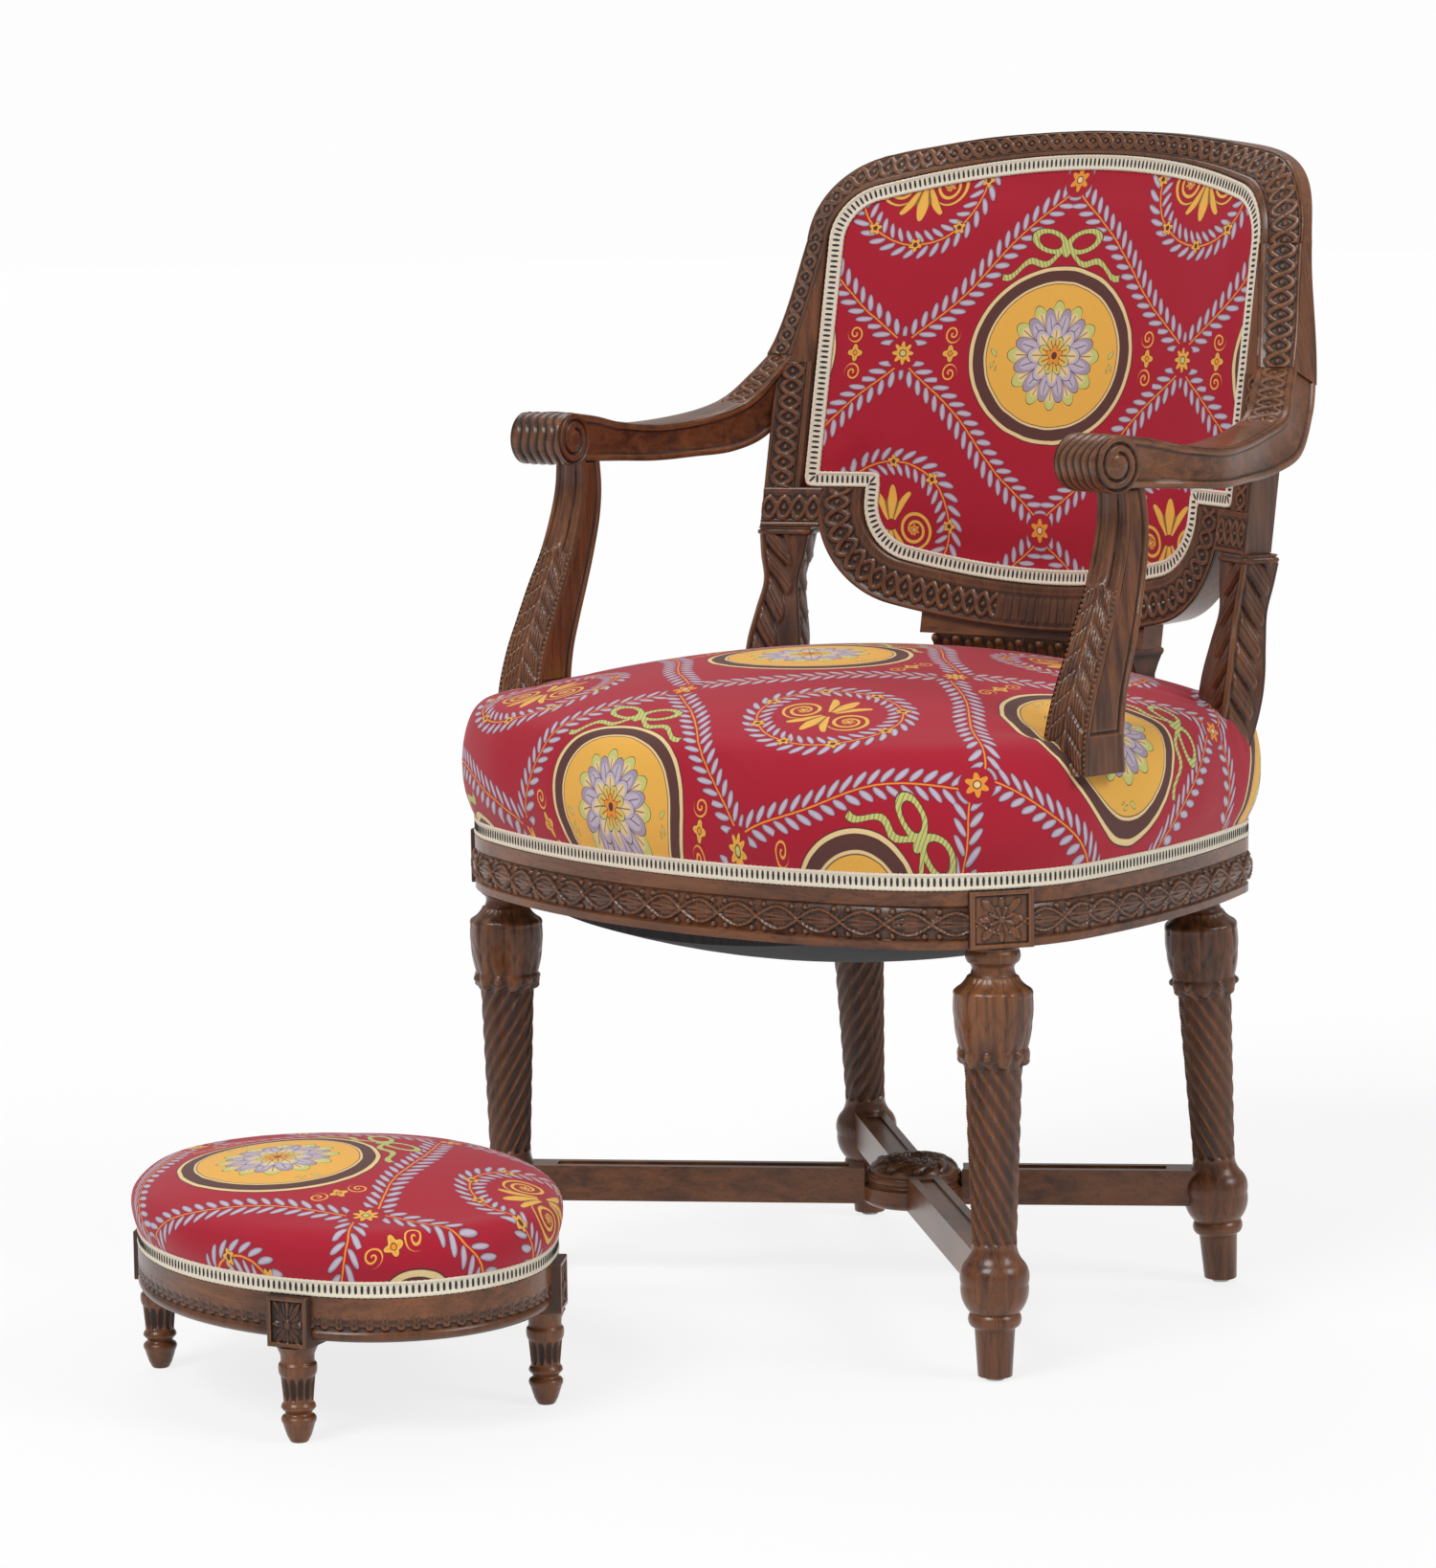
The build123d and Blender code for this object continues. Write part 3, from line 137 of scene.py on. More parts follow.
class Finish:
    """The nodes of a material or a world under construction."""

    def __init__(self, name, kind="materials"):
        self.block = getattr(bpy.data, kind).new(name)
        self.block.use_nodes = True
        self.tree = self.block.node_tree
        self.tree.nodes.clear()

    def node(self, kind, settings, values, output=0):
        node = self.tree.nodes.new(kind)
        for key, value in settings.items():
            setattr(node, key, value)
        pairs = values.items() if isinstance(values, dict) else enumerate(values)
        for key, value in pairs:
            if isinstance(value, Socket):
                self.tree.links.new(value.socket, node.inputs[key])
            else:
                node.inputs[key].default_value = value
        return Socket(self, node.outputs[output]) if node.outputs else None

    def mix(self, share, first, second):
        values = {0: share, 6: first, 7: second}
        return self.node("ShaderNodeMix", {"data_type": "RGBA", "clamp_factor": True}, values, 2)

    def place(self):
        return self.node("ShaderNodeTexCoord", {}, [], "Object")

    def ray(self, kind):
        return self.node("ShaderNodeLightPath", {}, [], kind)

    def noise(self, place, scale, detail, roughness=0.5, distortion=0.0):
        values = {"Vector": place, "Scale": scale, "Detail": detail}
        return self.node("ShaderNodeTexNoise", {}, {**values, "Roughness": roughness, "Distortion": distortion})

    def bump(self, height, strength, distance):
        return self.node("ShaderNodeBump", {}, {"Height": height, "Strength": strength, "Distance": distance})

    def shader(self, **values):
        named = {key.replace("_", " "): value for key, value in values.items()}
        return self.node("ShaderNodeBsdfPrincipled", {}, named)

    def either(self, share, first, second):
        return self.node("ShaderNodeMixShader", {}, [share, first, second])

    def shown(self, shader):
        self.node("ShaderNodeOutputMaterial", {}, {"Surface": shader})
        return self.block

    def surface(self, **values):
        return self.shown(self.shader(**values))


def colour(red, green, blue):
    return (red, green, blue, 1.0)


white = colour(1, 1, 1)
floor_radius, floor_sides = 40, 96
floor_colour = colour(0.86, 0.86, 0.86)
background = 0.985
floor_glow_share = 0.82

disc = bmesh.new()
bmesh.ops.create_circle(disc, cap_ends=True, segments=floor_sides, radius=floor_radius)
floor_mesh = bpy.data.meshes.new("floor")
disc.to_mesh(floor_mesh)
disc.free()
floor = bpy.data.objects.new("floor", floor_mesh)
bpy.context.scene.collection.objects.link(floor)
pale = Finish("pale_floor")
seen = pale.ray("Is Camera Ray").most(pale.ray("Is Glossy Ray"))
matt = pale.node("ShaderNodeBsdfDiffuse", {}, {"Color": floor_colour})
glow = pale.node("ShaderNodeEmission", {}, {"Color": white, "Strength": background})
floor_mesh.materials.append(pale.shown(pale.either(seen * floor_glow_share, matt, glow)))


# The light is a plain studio: an even pale surround, a broad soft lamp from the left front, and
# weaker ones from the right front and from behind.

surround_strength = 0.42
lamps = (("lamp_left", 38, 48, 1.75, 24), ("lamp_right", -62, 38, 1.05, 22), ("lamp_rear", 170, 55, 0.6, 30))

studio = Finish("studio", "worlds")
bpy.context.scene.world = studio.block
seen = studio.ray("Is Camera Ray").most(studio.ray("Is Transmission Ray"))
strength = seen * (background - surround_strength) + surround_strength
even = studio.node("ShaderNodeBackground", {}, {"Color": white, "Strength": strength})
studio.node("ShaderNodeOutputWorld", {}, {"Surface": even})

for name, left_of_camera, elevation, strength, angle in lamps:
    lamp = bpy.data.lights.new(name, "SUN")
    lamp.energy = strength
    lamp.angle = math.radians(angle)
    holder = bpy.data.objects.new(name, lamp)
    bpy.context.scene.collection.objects.link(holder)
    around = camera_azimuth - math.radians(left_of_camera)
    rise = math.radians(elevation)
    toward = Vector((math.sin(around) * math.cos(rise), -math.cos(around) * math.cos(rise), math.sin(rise)))
    holder.rotation_mode = "QUATERNION"
    holder.rotation_quaternion = toward.to_track_quat("Z", "Y")

bpy.context.scene.view_settings.view_transform = "Standard"


# The chair legs are walnut, turned with a peg foot, a collar and a vase under a spiral fluted shaft.
# A capital of carved leaves ends in a neck and a disc. Each square block above them has a rosette
# in a sunk panel, and takes the tenons of the seat rails.

def walnut(name, stretch, depth=0.0):
    """Old polished walnut: grain drawn out along one axis, made darker by depth, with painted shade in the hollows and
    painted highlight on the high points.
    """
    wood = Finish(name)
    dark, warm, light = colour(0.042, 0.0145, 0.0068), colour(0.152, 0.052, 0.0185), colour(0.26, 0.094, 0.031)
    pores, darker_brown = colour(0.014, 0.0055, 0.0032), colour(0.03, 0.0105, 0.006)
    # A near-black painted into the hollows as their shade, and a warm light brown painted on the high points as their
    # highlight
    painted_shade, painted_highlight = colour(0.0065, 0.0028, 0.0019), colour(0.33, 0.13, 0.048)
    drawn = wood.node("ShaderNodeMapping", {}, {"Vector": wood.place(), "Scale": stretch})
    broad = wood.noise(wood.place(), 9.0, 3.0)
    streak = wood.noise(drawn, 120.0, 5.0, 0.62, 0.5)
    fine = wood.noise(drawn, 620.0, 2.0)
    # The stored attribute is painted light: below nought where shade is painted, above nought where highlight is
    # painted
    painted_light = wood.node("ShaderNodeAttribute", {"attribute_name": "painted_light"}, [], "Fac")
    hollow, painted_highlight_share = (painted_light * -1.0).clipped(), painted_light.clipped()
    brown = wood.mix(((streak - 0.36) * 3.4).clipped(), dark, warm)
    brown = wood.mix(((broad - 0.42) * 3.2).clipped() * 0.5, brown, light)
    brown = wood.mix(((fine - 0.56) * 7.0).clipped() * 0.45, brown, pores)
    # The whole finish is made darker by depth
    brown = wood.mix(depth, brown, darker_brown)
    # Painted shade in the hollows, then painted highlight on the high points
    brown = wood.mix((hollow * 1.25).clipped() * 0.92, brown, painted_shade)
    brown = wood.mix(painted_highlight_share * 0.4, brown, painted_highlight)
    gloss = (0.25 + streak * 0.14 + hollow * 0.34).clipped()
    return wood.surface(
        Base_Color=brown, Roughness=gloss, Normal=wood.bump(fine + streak * 0.7, 0.32, 0.0003), Coat_Weight=0.16,
        Coat_Roughness=0.16, Specular_IOR_Level=0.36)


wood_upright = walnut("walnut_upright", (1.0, 1.0, 0.07))
# The carved pieces are given a darker brown overall
wood_carved = walnut("walnut_carved", (1.0, 1.0, 0.12), 0.3)
wood_across = walnut("walnut_across", (0.09, 0.6, 1.0))


def in_place(points):
    """Millimetres of the chair's own frame as metres of the row frame."""
    placed = np.array(points, float) / 1000
    placed[..., 1] += shift_y
    return placed


def new_piece(name, mesh, finish, body):
    """A finished mesh as a piece that rides on a body."""
    mesh.materials.clear()
    mesh.materials.append(finish)
    piece = bpy.data.objects.new(name, mesh)
    bpy.context.scene.collection.objects.link(piece)
    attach(piece, body)
    return piece


def volume_of(points, faces):
    """Six times the signed volume of a closed mesh."""
    total = 0.0
    for first, second, third in faces:
        a, b, c = points[first], points[second], points[third]
        total += float(np.einsum("ij,ij->", a, np.cross(b, c)))
    return total


def tube_mesh(name, rings, closed=False, painted_light=None, crease=48):
    """A closed mesh through rings of points, in millimetres, capped at its ends unless it closes."""
    rings = np.asarray(rings, float)
    count, around = rings.shape[:2]
    points = rings.reshape(-1, 3)
    index = np.arange(count * around).reshape(count, around)
    ahead = np.roll(index, -1, 0) if closed else index[1:]
    here = index if closed else index[:-1]
    quads = np.stack([here, np.roll(here, -1, 1), np.roll(ahead, -1, 1), ahead], -1).reshape(-1, 4)
    centred = points - points.mean(0)
    inside = volume_of(centred, [(quads[:, 0], quads[:, 1], quads[:, 2]), (quads[:, 0], quads[:, 2], quads[:, 3])])
    faces = quads.tolist()
    if not closed:
        faces.append(index[0][::-1].tolist())
        faces.append(index[-1].tolist())
    if inside < 0:
        faces = [face[::-1] for face in faces]
    mesh = bpy.data.meshes.new(name)
    mesh.from_pydata(in_place(points).tolist(), [], faces)
    # Each point's painted shade and painted highlight is stored for the walnut finish
    if painted_light is not None:
        shade = mesh.attributes.new("painted_light", "FLOAT", "POINT")
        shade.data.foreach_set("value", np.asarray(painted_light, np.float32).ravel())
    mesh.shade_smooth()
    mesh.set_sharp_from_angle(angle=math.radians(crease))
    return mesh


def painted_light_of(height, reach, span):
    """Painted light from a relief: below nought for painted shade in the hollows, above it for painted highlight on the
    high points.
    """
    even_height = height
    for axis in (0, 1):
        steps = range(-reach, reach + 1)
        even_height = sum(np.roll(even_height, step, axis) for step in steps) / len(steps)
    return np.clip((height - even_height) / span, -1, 1)


def smooth(value, low, high):
    """Nought below low, one above high, and a soft step between."""
    share = np.clip((value - low) / (high - low), 0, 1)
    return share * share * (3 - 2 * share)


def to_nearest(value):
    """How far a value is from the nearest whole number."""
    return np.abs(value - np.round(value))


def leaf(across, along, lobes=3.5):
    """Relief of a carved leaf, nought to about one, from its stem at 0 to its tip at 1."""
    run = np.clip(along, 0, 1)
    edge = np.sqrt(1 - run ** 4) * (1 - 0.16 * np.abs(np.sin(math.pi * lobes * run)))
    inside = 1 - np.abs(across) / np.maximum(edge, 0.02)
    dome = np.clip(inside, 0, 1) ** 0.45
    vein = 0.4 * np.exp(-(across / 0.1) ** 2) * (1 - 0.6 * run)
    ribs = 0.24 * np.exp(-(to_nearest(run * lobes + np.abs(across) * 0.9 + 0.5) / 0.14) ** 2)
    shape = dome * (0.62 - vein - ribs + 0.42 * run ** 3)
    return np.where((inside > 0) & (along >= 0) & (along <= 1), np.maximum(shape, 0.02), 0)


def knob(distance, radius):
    """Relief of a round bead: one in its middle, nought from its radius on."""
    return np.sqrt(np.clip(1 - (distance / radius) ** 2, 0, None))


def lane(turns):
    """Where each place lies across its own lane of an even row, from -1 to 1."""
    return (turns - np.round(turns)) * 2


def level_turn(turn):
    """The level direction at an angle, and the one a quarter turn on."""
    return np.array([math.cos(turn), math.sin(turn), 0]), np.array([-math.sin(turn), math.cos(turn), 0])


upward = np.array([0, 0, 1])


def solid_of(*nodes):
    """The surface of some nodes of the frame, ready for rays, in millimetres of the chair's frame."""
    corners, faces = [], []
    for node in nodes:
        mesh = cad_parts[node].data
        start = len(corners)
        corners += [(v.co.x * 1000, (v.co.y - shift_y) * 1000, v.co.z * 1000) for v in mesh.vertices]
        faces += [[start + index for index in face.vertices] for face in mesh.polygons]
    return BVHTree.FromPolygons(corners, faces)


leg_front_x, leg_front_y = 270.88, -144.09
leg_rear_x, leg_rear_y = 192.98, 207.06
leg_back_splay, leg_side_splay = 22.9, 5.8
leg_front_turn, leg_rear_turn = -29.8, 68.1
leg_foot_z, leg_top_z = 3.0, 341.0
ray_reach, spare_radius, leg_step = 60, 13.5, 1.0
flutes, flute_depth, flute_half_turn, flute_share = 12, 2.3, 104, 0.86
flute_low_z, flute_high_z = 107, 247
capital_low_z, capital_high_z, capital_leaves = 249, 317, 6
capital_rows = ((0.5, 0.9, 2.0), (0.0, 1.0, 3.3))
tip_rise, tip_radius = 3.1, 3.4
block_width, block_height, block_depth, block_out, block_mesh_step = 52, 45, 48, 22, 0.8
rear_block_growth = 4.6
rosette_petals, rosette_share, panel_share, panel_depth = 8, 0.78, 0.84, 1.9


def turned_leg(name, foot, top, outward, spiral, node):
    """A leg's turning: its outline is read off the frame, then fluted and carved."""
    foot, top = Vector(foot), Vector(top)
    axis = (top - foot).normalized()
    first = Vector((math.cos(outward), math.sin(outward), 0))
    first = (first - axis * first.dot(axis)).normalized()
    second = axis.cross(first)
    solid = solid_of(node)
    steps = np.arange(0, (top - foot).length, leg_step)
    radii = []
    for step in steps:
        hit = solid.ray_cast(foot + axis * step + first * ray_reach, -first)
        radii.append(ray_reach - hit[3] if hit[0] is not None else radii[-1] if radii else spare_radius)
    radii = np.array(radii)[:, None]
    angle = np.linspace(0, 2 * math.pi, flutes * 8, endpoint=False)[None, :]
    level = (foot.z + steps * axis.z)[:, None]
    phase = flutes * (angle + spiral * math.pi * level / flute_half_turn) / (2 * math.pi)
    across = to_nearest(phase) * 2 / flute_share
    width = 2 * math.pi * radii / flutes * flute_share / 2
    over_low = np.clip((flute_low_z + width - level) / width, 0, None)
    over_high = np.clip((level - flute_high_z) / width, 0, None)
    shaft = -flute_depth * np.sqrt(np.clip(1 - across ** 2 - over_low ** 2 - over_high ** 2, 0, None))
    relief = np.zeros(shaft.shape)
    capital_height = capital_high_z - capital_low_z
    along = (capital_high_z - level) / capital_height
    for offset, reach, rise in capital_rows:
        sideways = lane(capital_leaves * angle / (2 * math.pi) + offset)
        relief = np.maximum(relief, leaf(sideways / 0.94, along / reach, 2.5) * rise)
        tip_z = capital_high_z - capital_height * reach
        spot = np.hypot(sideways * math.pi / capital_leaves * radii, level - tip_z - 1.5)
        relief = np.maximum(relief, tip_rise * knob(spot, tip_radius))
    relief = np.where(relief > 0, relief, shaft)
    direction = np.cos(angle)[..., None] * np.array(first) + np.sin(angle)[..., None] * np.array(second)
    rings = np.array(foot) + steps[:, None, None] * np.array(axis) + (radii + relief)[..., None] * direction
    rings[..., 2] = np.maximum(rings[..., 2], leg_foot_z)
    # Painted shade in the flutes and round the leaves, painted highlight on their high points
    mesh = tube_mesh(name, rings, painted_light=painted_light_of(relief, 3, 0.7) * 0.5)
    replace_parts(new_piece(name, mesh, wood_upright, "chair"), node)


def carved_block(name, x, y, turn, growth):
    """A square block with a sunk panel and a double rosette on its outer face."""
    across = np.linspace(-block_width / 2, block_width / 2, int(block_width / block_mesh_step) + 1)[None, :]
    level = np.linspace(0, block_height, int(block_height / block_mesh_step) + 1)[:, None]
    up_from = level - block_height / 2
    border = np.maximum(np.abs(across) / (block_width / 2), np.abs(up_from) / (block_height / 2))
    reach = np.hypot(across, up_from)
    span = min(block_width, block_height) / 2 * rosette_share
    around = np.arctan2(up_from, across)
    square = np.minimum(span / np.maximum(np.abs(np.cos(around)), np.abs(np.sin(around))), span * 1.22)
    outer = leaf(np.sin(rosette_petals * around / 2) * 1.05, reach / square, 2.5) * 2.4
    between = np.sin(rosette_petals * (around + math.pi / rosette_petals) / 2) * 1.05
    inner = np.where(reach < span * 0.6, leaf(between, reach / (span * 0.6), 1.5) * 2.2 + 0.9, 0)
    panel = np.maximum(np.maximum(outer, inner), 3.0 * knob(reach, span * 0.2)) - panel_depth
    relief = np.where(border > panel_share, 0, panel) - 0.7 * smooth(border, 0.965, 1.0)
    out, beside = level_turn(turn)
    place = (
        np.array([x, y, leg_top_z]) + out * (block_out + growth + relief)[..., None] + beside * across[..., None]
        + upward * level[..., None])
    back = np.stack([place[:, -1], place[:, 0]], 1) - out * (block_depth + growth)
    # Painted shade in the sunk panel and between the petals, painted highlight on their high points
    painted_light = np.pad(painted_light_of(relief, 2, 0.6), ((0, 0), (0, 2)))
    new_piece(name, tube_mesh(name, np.concatenate([place, back], 1), painted_light=painted_light), wood_upright, "chair")


for side, sign in (("right", 1), ("left", -1)):
    half_turn = 0 if sign > 0 else math.pi
    for end, x, y, foot_x, foot_y, turn, growth in (
            ("front", leg_front_x, leg_front_y, leg_front_x, leg_front_y, leg_front_turn, 0),
            ("rear", leg_rear_x, leg_rear_y, leg_rear_x + leg_side_splay, leg_rear_y + leg_back_splay,
             leg_rear_turn, rear_block_growth)):
        outward = half_turn + sign * math.radians(turn)
        turned_leg(
            f"{end}_{side}_turning", (sign * foot_x, foot_y, leg_foot_z), (sign * x, y, leg_top_z), outward, sign,
            f"{end}_{side}_leg")
        carved_block(f"{end}_{side}_block", sign * x, y, outward, growth)


# The seat rails are walnut, sawn to the curve of the seat and moulded. A torus between two grooves
# carries a running laurel: long leaves bound by ribbons that cross and part, with berries on them.

def corner_and_end(half_width, corner_radius, bow):
    """A quarter plan whose corner arc starts on the widest line and whose end arc bows past it."""
    corner_x = half_width - corner_radius
    depth = corner_radius + bow
    end_radius = (depth ** 2 - corner_radius ** 2 + corner_x ** 2) / (bow + bow)
    end_y = depth - end_radius
    meet = math.atan2(-end_y, corner_x)
    return [(corner_x, 0, corner_radius, 0, meet), (0, end_y, end_radius, meet, math.pi / 2)]


def side_corner_and_end(half_width, depth, side_radius, corner_radius, end_radius):
    """A quarter plan with a long side arc, a corner arc and an end arc."""
    side_x = half_width - side_radius
    end_y = depth - end_radius
    gap = math.hypot(side_x, end_y)
    from_side, from_end = side_radius - corner_radius, end_radius - corner_radius
    along = (from_side ** 2 - from_end ** 2 + gap ** 2) / (gap + gap)
    across = math.sqrt(from_side ** 2 - along ** 2)
    corner_x = side_x + (-side_x * along - end_y * across) / gap
    corner_y = (end_y * along - side_x * across) / gap
    first = math.atan2(corner_y, corner_x - side_x)
    last = math.atan2(corner_y - end_y, corner_x)
    return [
        (side_x, 0, side_radius, 0, first), (corner_x, corner_y, corner_radius, first, last),
        (0, end_y, end_radius, last, math.pi / 2)]


def upper_half(quarter, level):
    arcs = [(x, level + y, radius, first, last) for x, y, radius, first, last in quarter]
    return arcs + [(-x, y, radius, math.pi - last, math.pi - first) for x, y, radius, first, last in arcs[::-1]]


def lower_half(quarter, level):
    arcs = [(x, level - y, radius, -last, -first) for x, y, radius, first, last in quarter[::-1]]
    left = [(-x, y, radius, math.pi - last, math.pi - first) for x, y, radius, first, last in arcs[::-1]]
    return left + arcs


def walk(arcs, step):
    """Even steps along tangent arcs: points, outward directions and the length run so far."""
    lengths = np.array([abs(radius * (last - first)) for _, _, radius, first, last in arcs])
    ends = np.cumsum(lengths)
    runs = np.arange(round(ends[-1] / step)) * ends[-1] / round(ends[-1] / step)
    chosen = np.minimum(np.searchsorted(ends, runs, side="right"), len(arcs) - 1)
    table = np.array(arcs)[chosen]
    share = (runs - (ends - lengths)[chosen]) / lengths[chosen]
    angle = table[:, 3] + (table[:, 4] - table[:, 3]) * share
    out = np.stack([np.cos(angle), np.sin(angle)], 1)
    return table[:, :2] + out * table[:, 2:3], out, runs


seat_widest_y = -76
seat_quarter = side_corner_and_end(308, 344, 730, 62, 541)
seat_front_quarter = corner_and_end(308, 156, 28)
seat_plan = upper_half(seat_quarter, seat_widest_y) + lower_half(seat_front_quarter, seat_widest_y)
torus_top_z, torus_bottom_z = 373, 349
torus_inset, torus_swell, torus_return = 2.0, 3.0, 4
laurel_mesh_step, laurel_rows = 1.05, 29
bundle_length, ribbon_swing, ribbon_half = 36, 8.2, 1.15
bundle_leaves = ((0, 4.6, 19, 1.9), (5.2, 3.8, 15, 1.45), (-5.2, 3.8, 15, 1.45))
berry_across, berry_share, berry_radius = 9.4, 0.16, 2.0

for node in ("front_seat_rail", "left_seat_rail", "right_seat_rail", "rear_seat_rail"):
    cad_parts[node].data.materials[0] = wood_across


def laurel(run, across, half):
    """Relief of the laurel band: leaves in bundles, crossing ribbons and berries."""
    phase = run / bundle_length
    swing = ribbon_swing * np.abs(np.sin(math.pi * phase))
    centre = run - np.round(phase - 0.5) * bundle_length - bundle_length / 2
    relief = np.zeros(np.broadcast(run, across).shape)
    for off, wide, long, rise in bundle_leaves:
        length = (centre + long) / (2 * long)
        body = leaf((across - off * (1 - 0.5 * np.abs(centre) / long)) / wide, length, 1.5)
        relief = np.maximum(relief, body * rise)
    slope = np.sqrt(1 + (ribbon_swing * math.pi / bundle_length * np.cos(math.pi * phase)) ** 2)
    beads = 0.75 + 0.35 * np.abs(np.cos(math.pi * run / 3.0))
    for sign in (1, -1):
        cord = 2.3 * knob(np.abs(across - sign * swing) / slope, ribbon_half)
        relief = np.maximum(relief, cord * beads)
    crossing, beside = to_nearest(phase), np.minimum(to_nearest(phase - berry_share), to_nearest(phase + berry_share))
    for away, off in ((crossing, 0), (beside, berry_across), (beside, -berry_across)):
        berry = knob(np.hypot(away * bundle_length, across - off), berry_radius)
        relief = np.maximum(relief, 2.2 * berry)
    return relief * smooth(half - np.abs(across), 0, 0.8)


rail_points, rail_out, rail_runs = walk(seat_plan, laurel_mesh_step)
half_torus = (torus_top_z - torus_bottom_z) / 2
sagitta_radius = (half_torus ** 2 + torus_swell ** 2) / (2 * torus_swell)
lean = np.linspace(-1, 1, laurel_rows)[None, :] * math.asin(half_torus / sagitta_radius)
across = lean * sagitta_radius
relief = laurel(rail_runs[:, None], across, half_torus) * 1.1 + 0.12
outward = -torus_inset + torus_swell - sagitta_radius + np.cos(lean) * (sagitta_radius + relief)
level = (torus_top_z + torus_bottom_z) / 2 + np.sin(lean) * (sagitta_radius + relief)
outward = np.concatenate([outward, outward[:, -1:] - torus_return, outward[:, :1] - torus_return], 1)
level = np.concatenate([level, level[:, -1:], level[:, :1]], 1)
rings = np.concatenate([rail_points[:, None] + rail_out[:, None] * outward[..., None], level[..., None]], -1)
# Painted shade between the leaves, ribbons and berries, painted highlight on their high points
laurel_painted_light = np.pad(painted_light_of(relief, 2, 0.55), ((0, 0), (0, 2)))
new_piece("seat_laurel", tube_mesh("seat_laurel", rings, True, laurel_painted_light), wood_carved, "chair")


# The stretcher joins the legs low down: four walnut bars, sunk along their tops, are
# tenoned into a turned hub, and the hub carries a boss of swirling leaves round a hollow eye.

boss_low_z, boss_rise, boss_radius, eye_radius = 93, 12, 38, 10
boss_leaves, boss_swirl, boss_sides = 9, 1.25, 216
boss_rows = ((0.5, 0.24, 1.02, 2.4, 1.12), (0.0, 0.2, 0.93, 4.2, 1.0))

for name in ("front_right_stretcher", "front_left_stretcher", "rear_right_stretcher", "rear_left_stretcher",
             "stretcher_hub"):
    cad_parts[name].data.materials[0] = wood_across

reach_share = np.linspace(0, 1, 74)[:, None]
reach = eye_radius * 0.55 + (boss_radius - eye_radius * 0.55) * reach_share
angle = np.linspace(0, 2 * math.pi, boss_sides, endpoint=False)[None, :]
dome = boss_rise * (np.clip(1 - (reach / boss_radius) ** 2.6, 0, 1)) ** 0.6
pit = -9 * smooth(eye_radius + 2.5 - reach, 0, 5)
swirl = angle + boss_swirl * (reach / boss_radius - 0.3)
relief = np.zeros_like(swirl + reach)
for offset, low, high, rise, width in boss_rows:
    sideways = lane(boss_leaves * swirl / (2 * math.pi) + offset) / width
    relief = np.maximum(relief, leaf(sideways, (reach / boss_radius - low) / (high - low), 3.5) * rise)
rim = 1.8 * np.exp(-((reach - eye_radius - 1.5) / 1.6) ** 2)
height = boss_low_z + dome + pit + np.maximum(relief, rim) * smooth(boss_radius + 0.01 - reach, 0, 2.0)
rings = np.stack([reach * np.cos(angle), hub_forward * 1000 + reach * np.sin(angle), height + angle * 0], -1)
skirt = rings[-1].copy()
skirt[:, 2] = boss_low_z - 0.05
# Painted shade in the hollow eye, between the leaves and under the skirt, painted highlight on the high points
boss_painted_light = np.concatenate([painted_light_of(relief + pit * 0.5, 3, 1.1), np.full((1, boss_sides), -0.4)])
boss = tube_mesh("stretcher_leaves", np.concatenate([rings, skirt[None]]), painted_light=boss_painted_light)
boss = new_piece("stretcher_leaves", boss, wood_carved, "chair")
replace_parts(boss, "stretcher_rosette")


# Under the seat are the glides, the braces with their screws, jute webbing, coil springs tied
# between it and a hessian, and a dark bottom cloth that hangs in a shallow belly.

def plain_cloth(name, dark, pale_colour, thread_mm, strength):
    """A plain woven cloth, with its threads as a fine check."""
    cloth = Finish(name)
    place = cloth.place()
    cell = math.pi * 1000 / thread_mm
    parts = [cloth.node("ShaderNodeSeparateXYZ", {}, [place], index) * cell for index in (0, 1)]
    weave = abs(parts[0].maths("SINE", parts[0]) * parts[1].maths("SINE", parts[1]))
    uneven = cloth.noise(place, 35.0, 4.0)
    tint = cloth.mix((weave * 0.5 + uneven * 0.5).clipped(), dark, pale_colour)
    rough = (uneven * 0.2 + 0.75).clipped()
    return cloth.surface(Base_Color=tint, Roughness=rough, Normal=cloth.bump(weave + uneven, strength, 0.0004))


def dull_steel(name):
    """Dull steel with a little brown oxide."""
    steel = Finish(name)
    oxide = steel.noise(steel.place(), 160.0, 4.0)
    tint = steel.mix(((oxide - 0.5) * 4.0).clipped(), colour(0.42, 0.41, 0.4), colour(0.14, 0.075, 0.045))
    return steel.surface(
        Base_Color=tint, Metallic=(1.0 - (oxide - 0.5).clipped() * 2.0).clipped(), Roughness=oxide * 0.4 + 0.25,
        Normal=steel.bump(oxide, 0.2, 0.0002))


bottom_cloth = plain_cloth("bottom_cloth", colour(0.009, 0.009, 0.011), colour(0.035, 0.035, 0.04), 0.9, 0.3)
jute = plain_cloth("jute_webbing", colour(0.2, 0.14, 0.075), colour(0.5, 0.38, 0.22), 2.2, 0.6)
hessian = plain_cloth("hessian", colour(0.22, 0.15, 0.08), colour(0.5, 0.39, 0.24), 1.6, 0.6)
steel = dull_steel("dull_steel")
under_seat = {
    "dust_cover": bottom_cloth, "seat_webbing": jute, "back_webbing": jute, "spring_hessian": hessian,
    "seat_springs": steel, "brace_screws": steel, "chair_glides": steel, "corner_braces": wood_across,
}
for node, finish in under_seat.items():
    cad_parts[node].data.materials[0] = finish


# The frame of the back is walnut: a crest, two stiles and a curved lower rail. Their faces carry a
# guilloche, two cords that cross over and under each other round small beads, between two fillets.

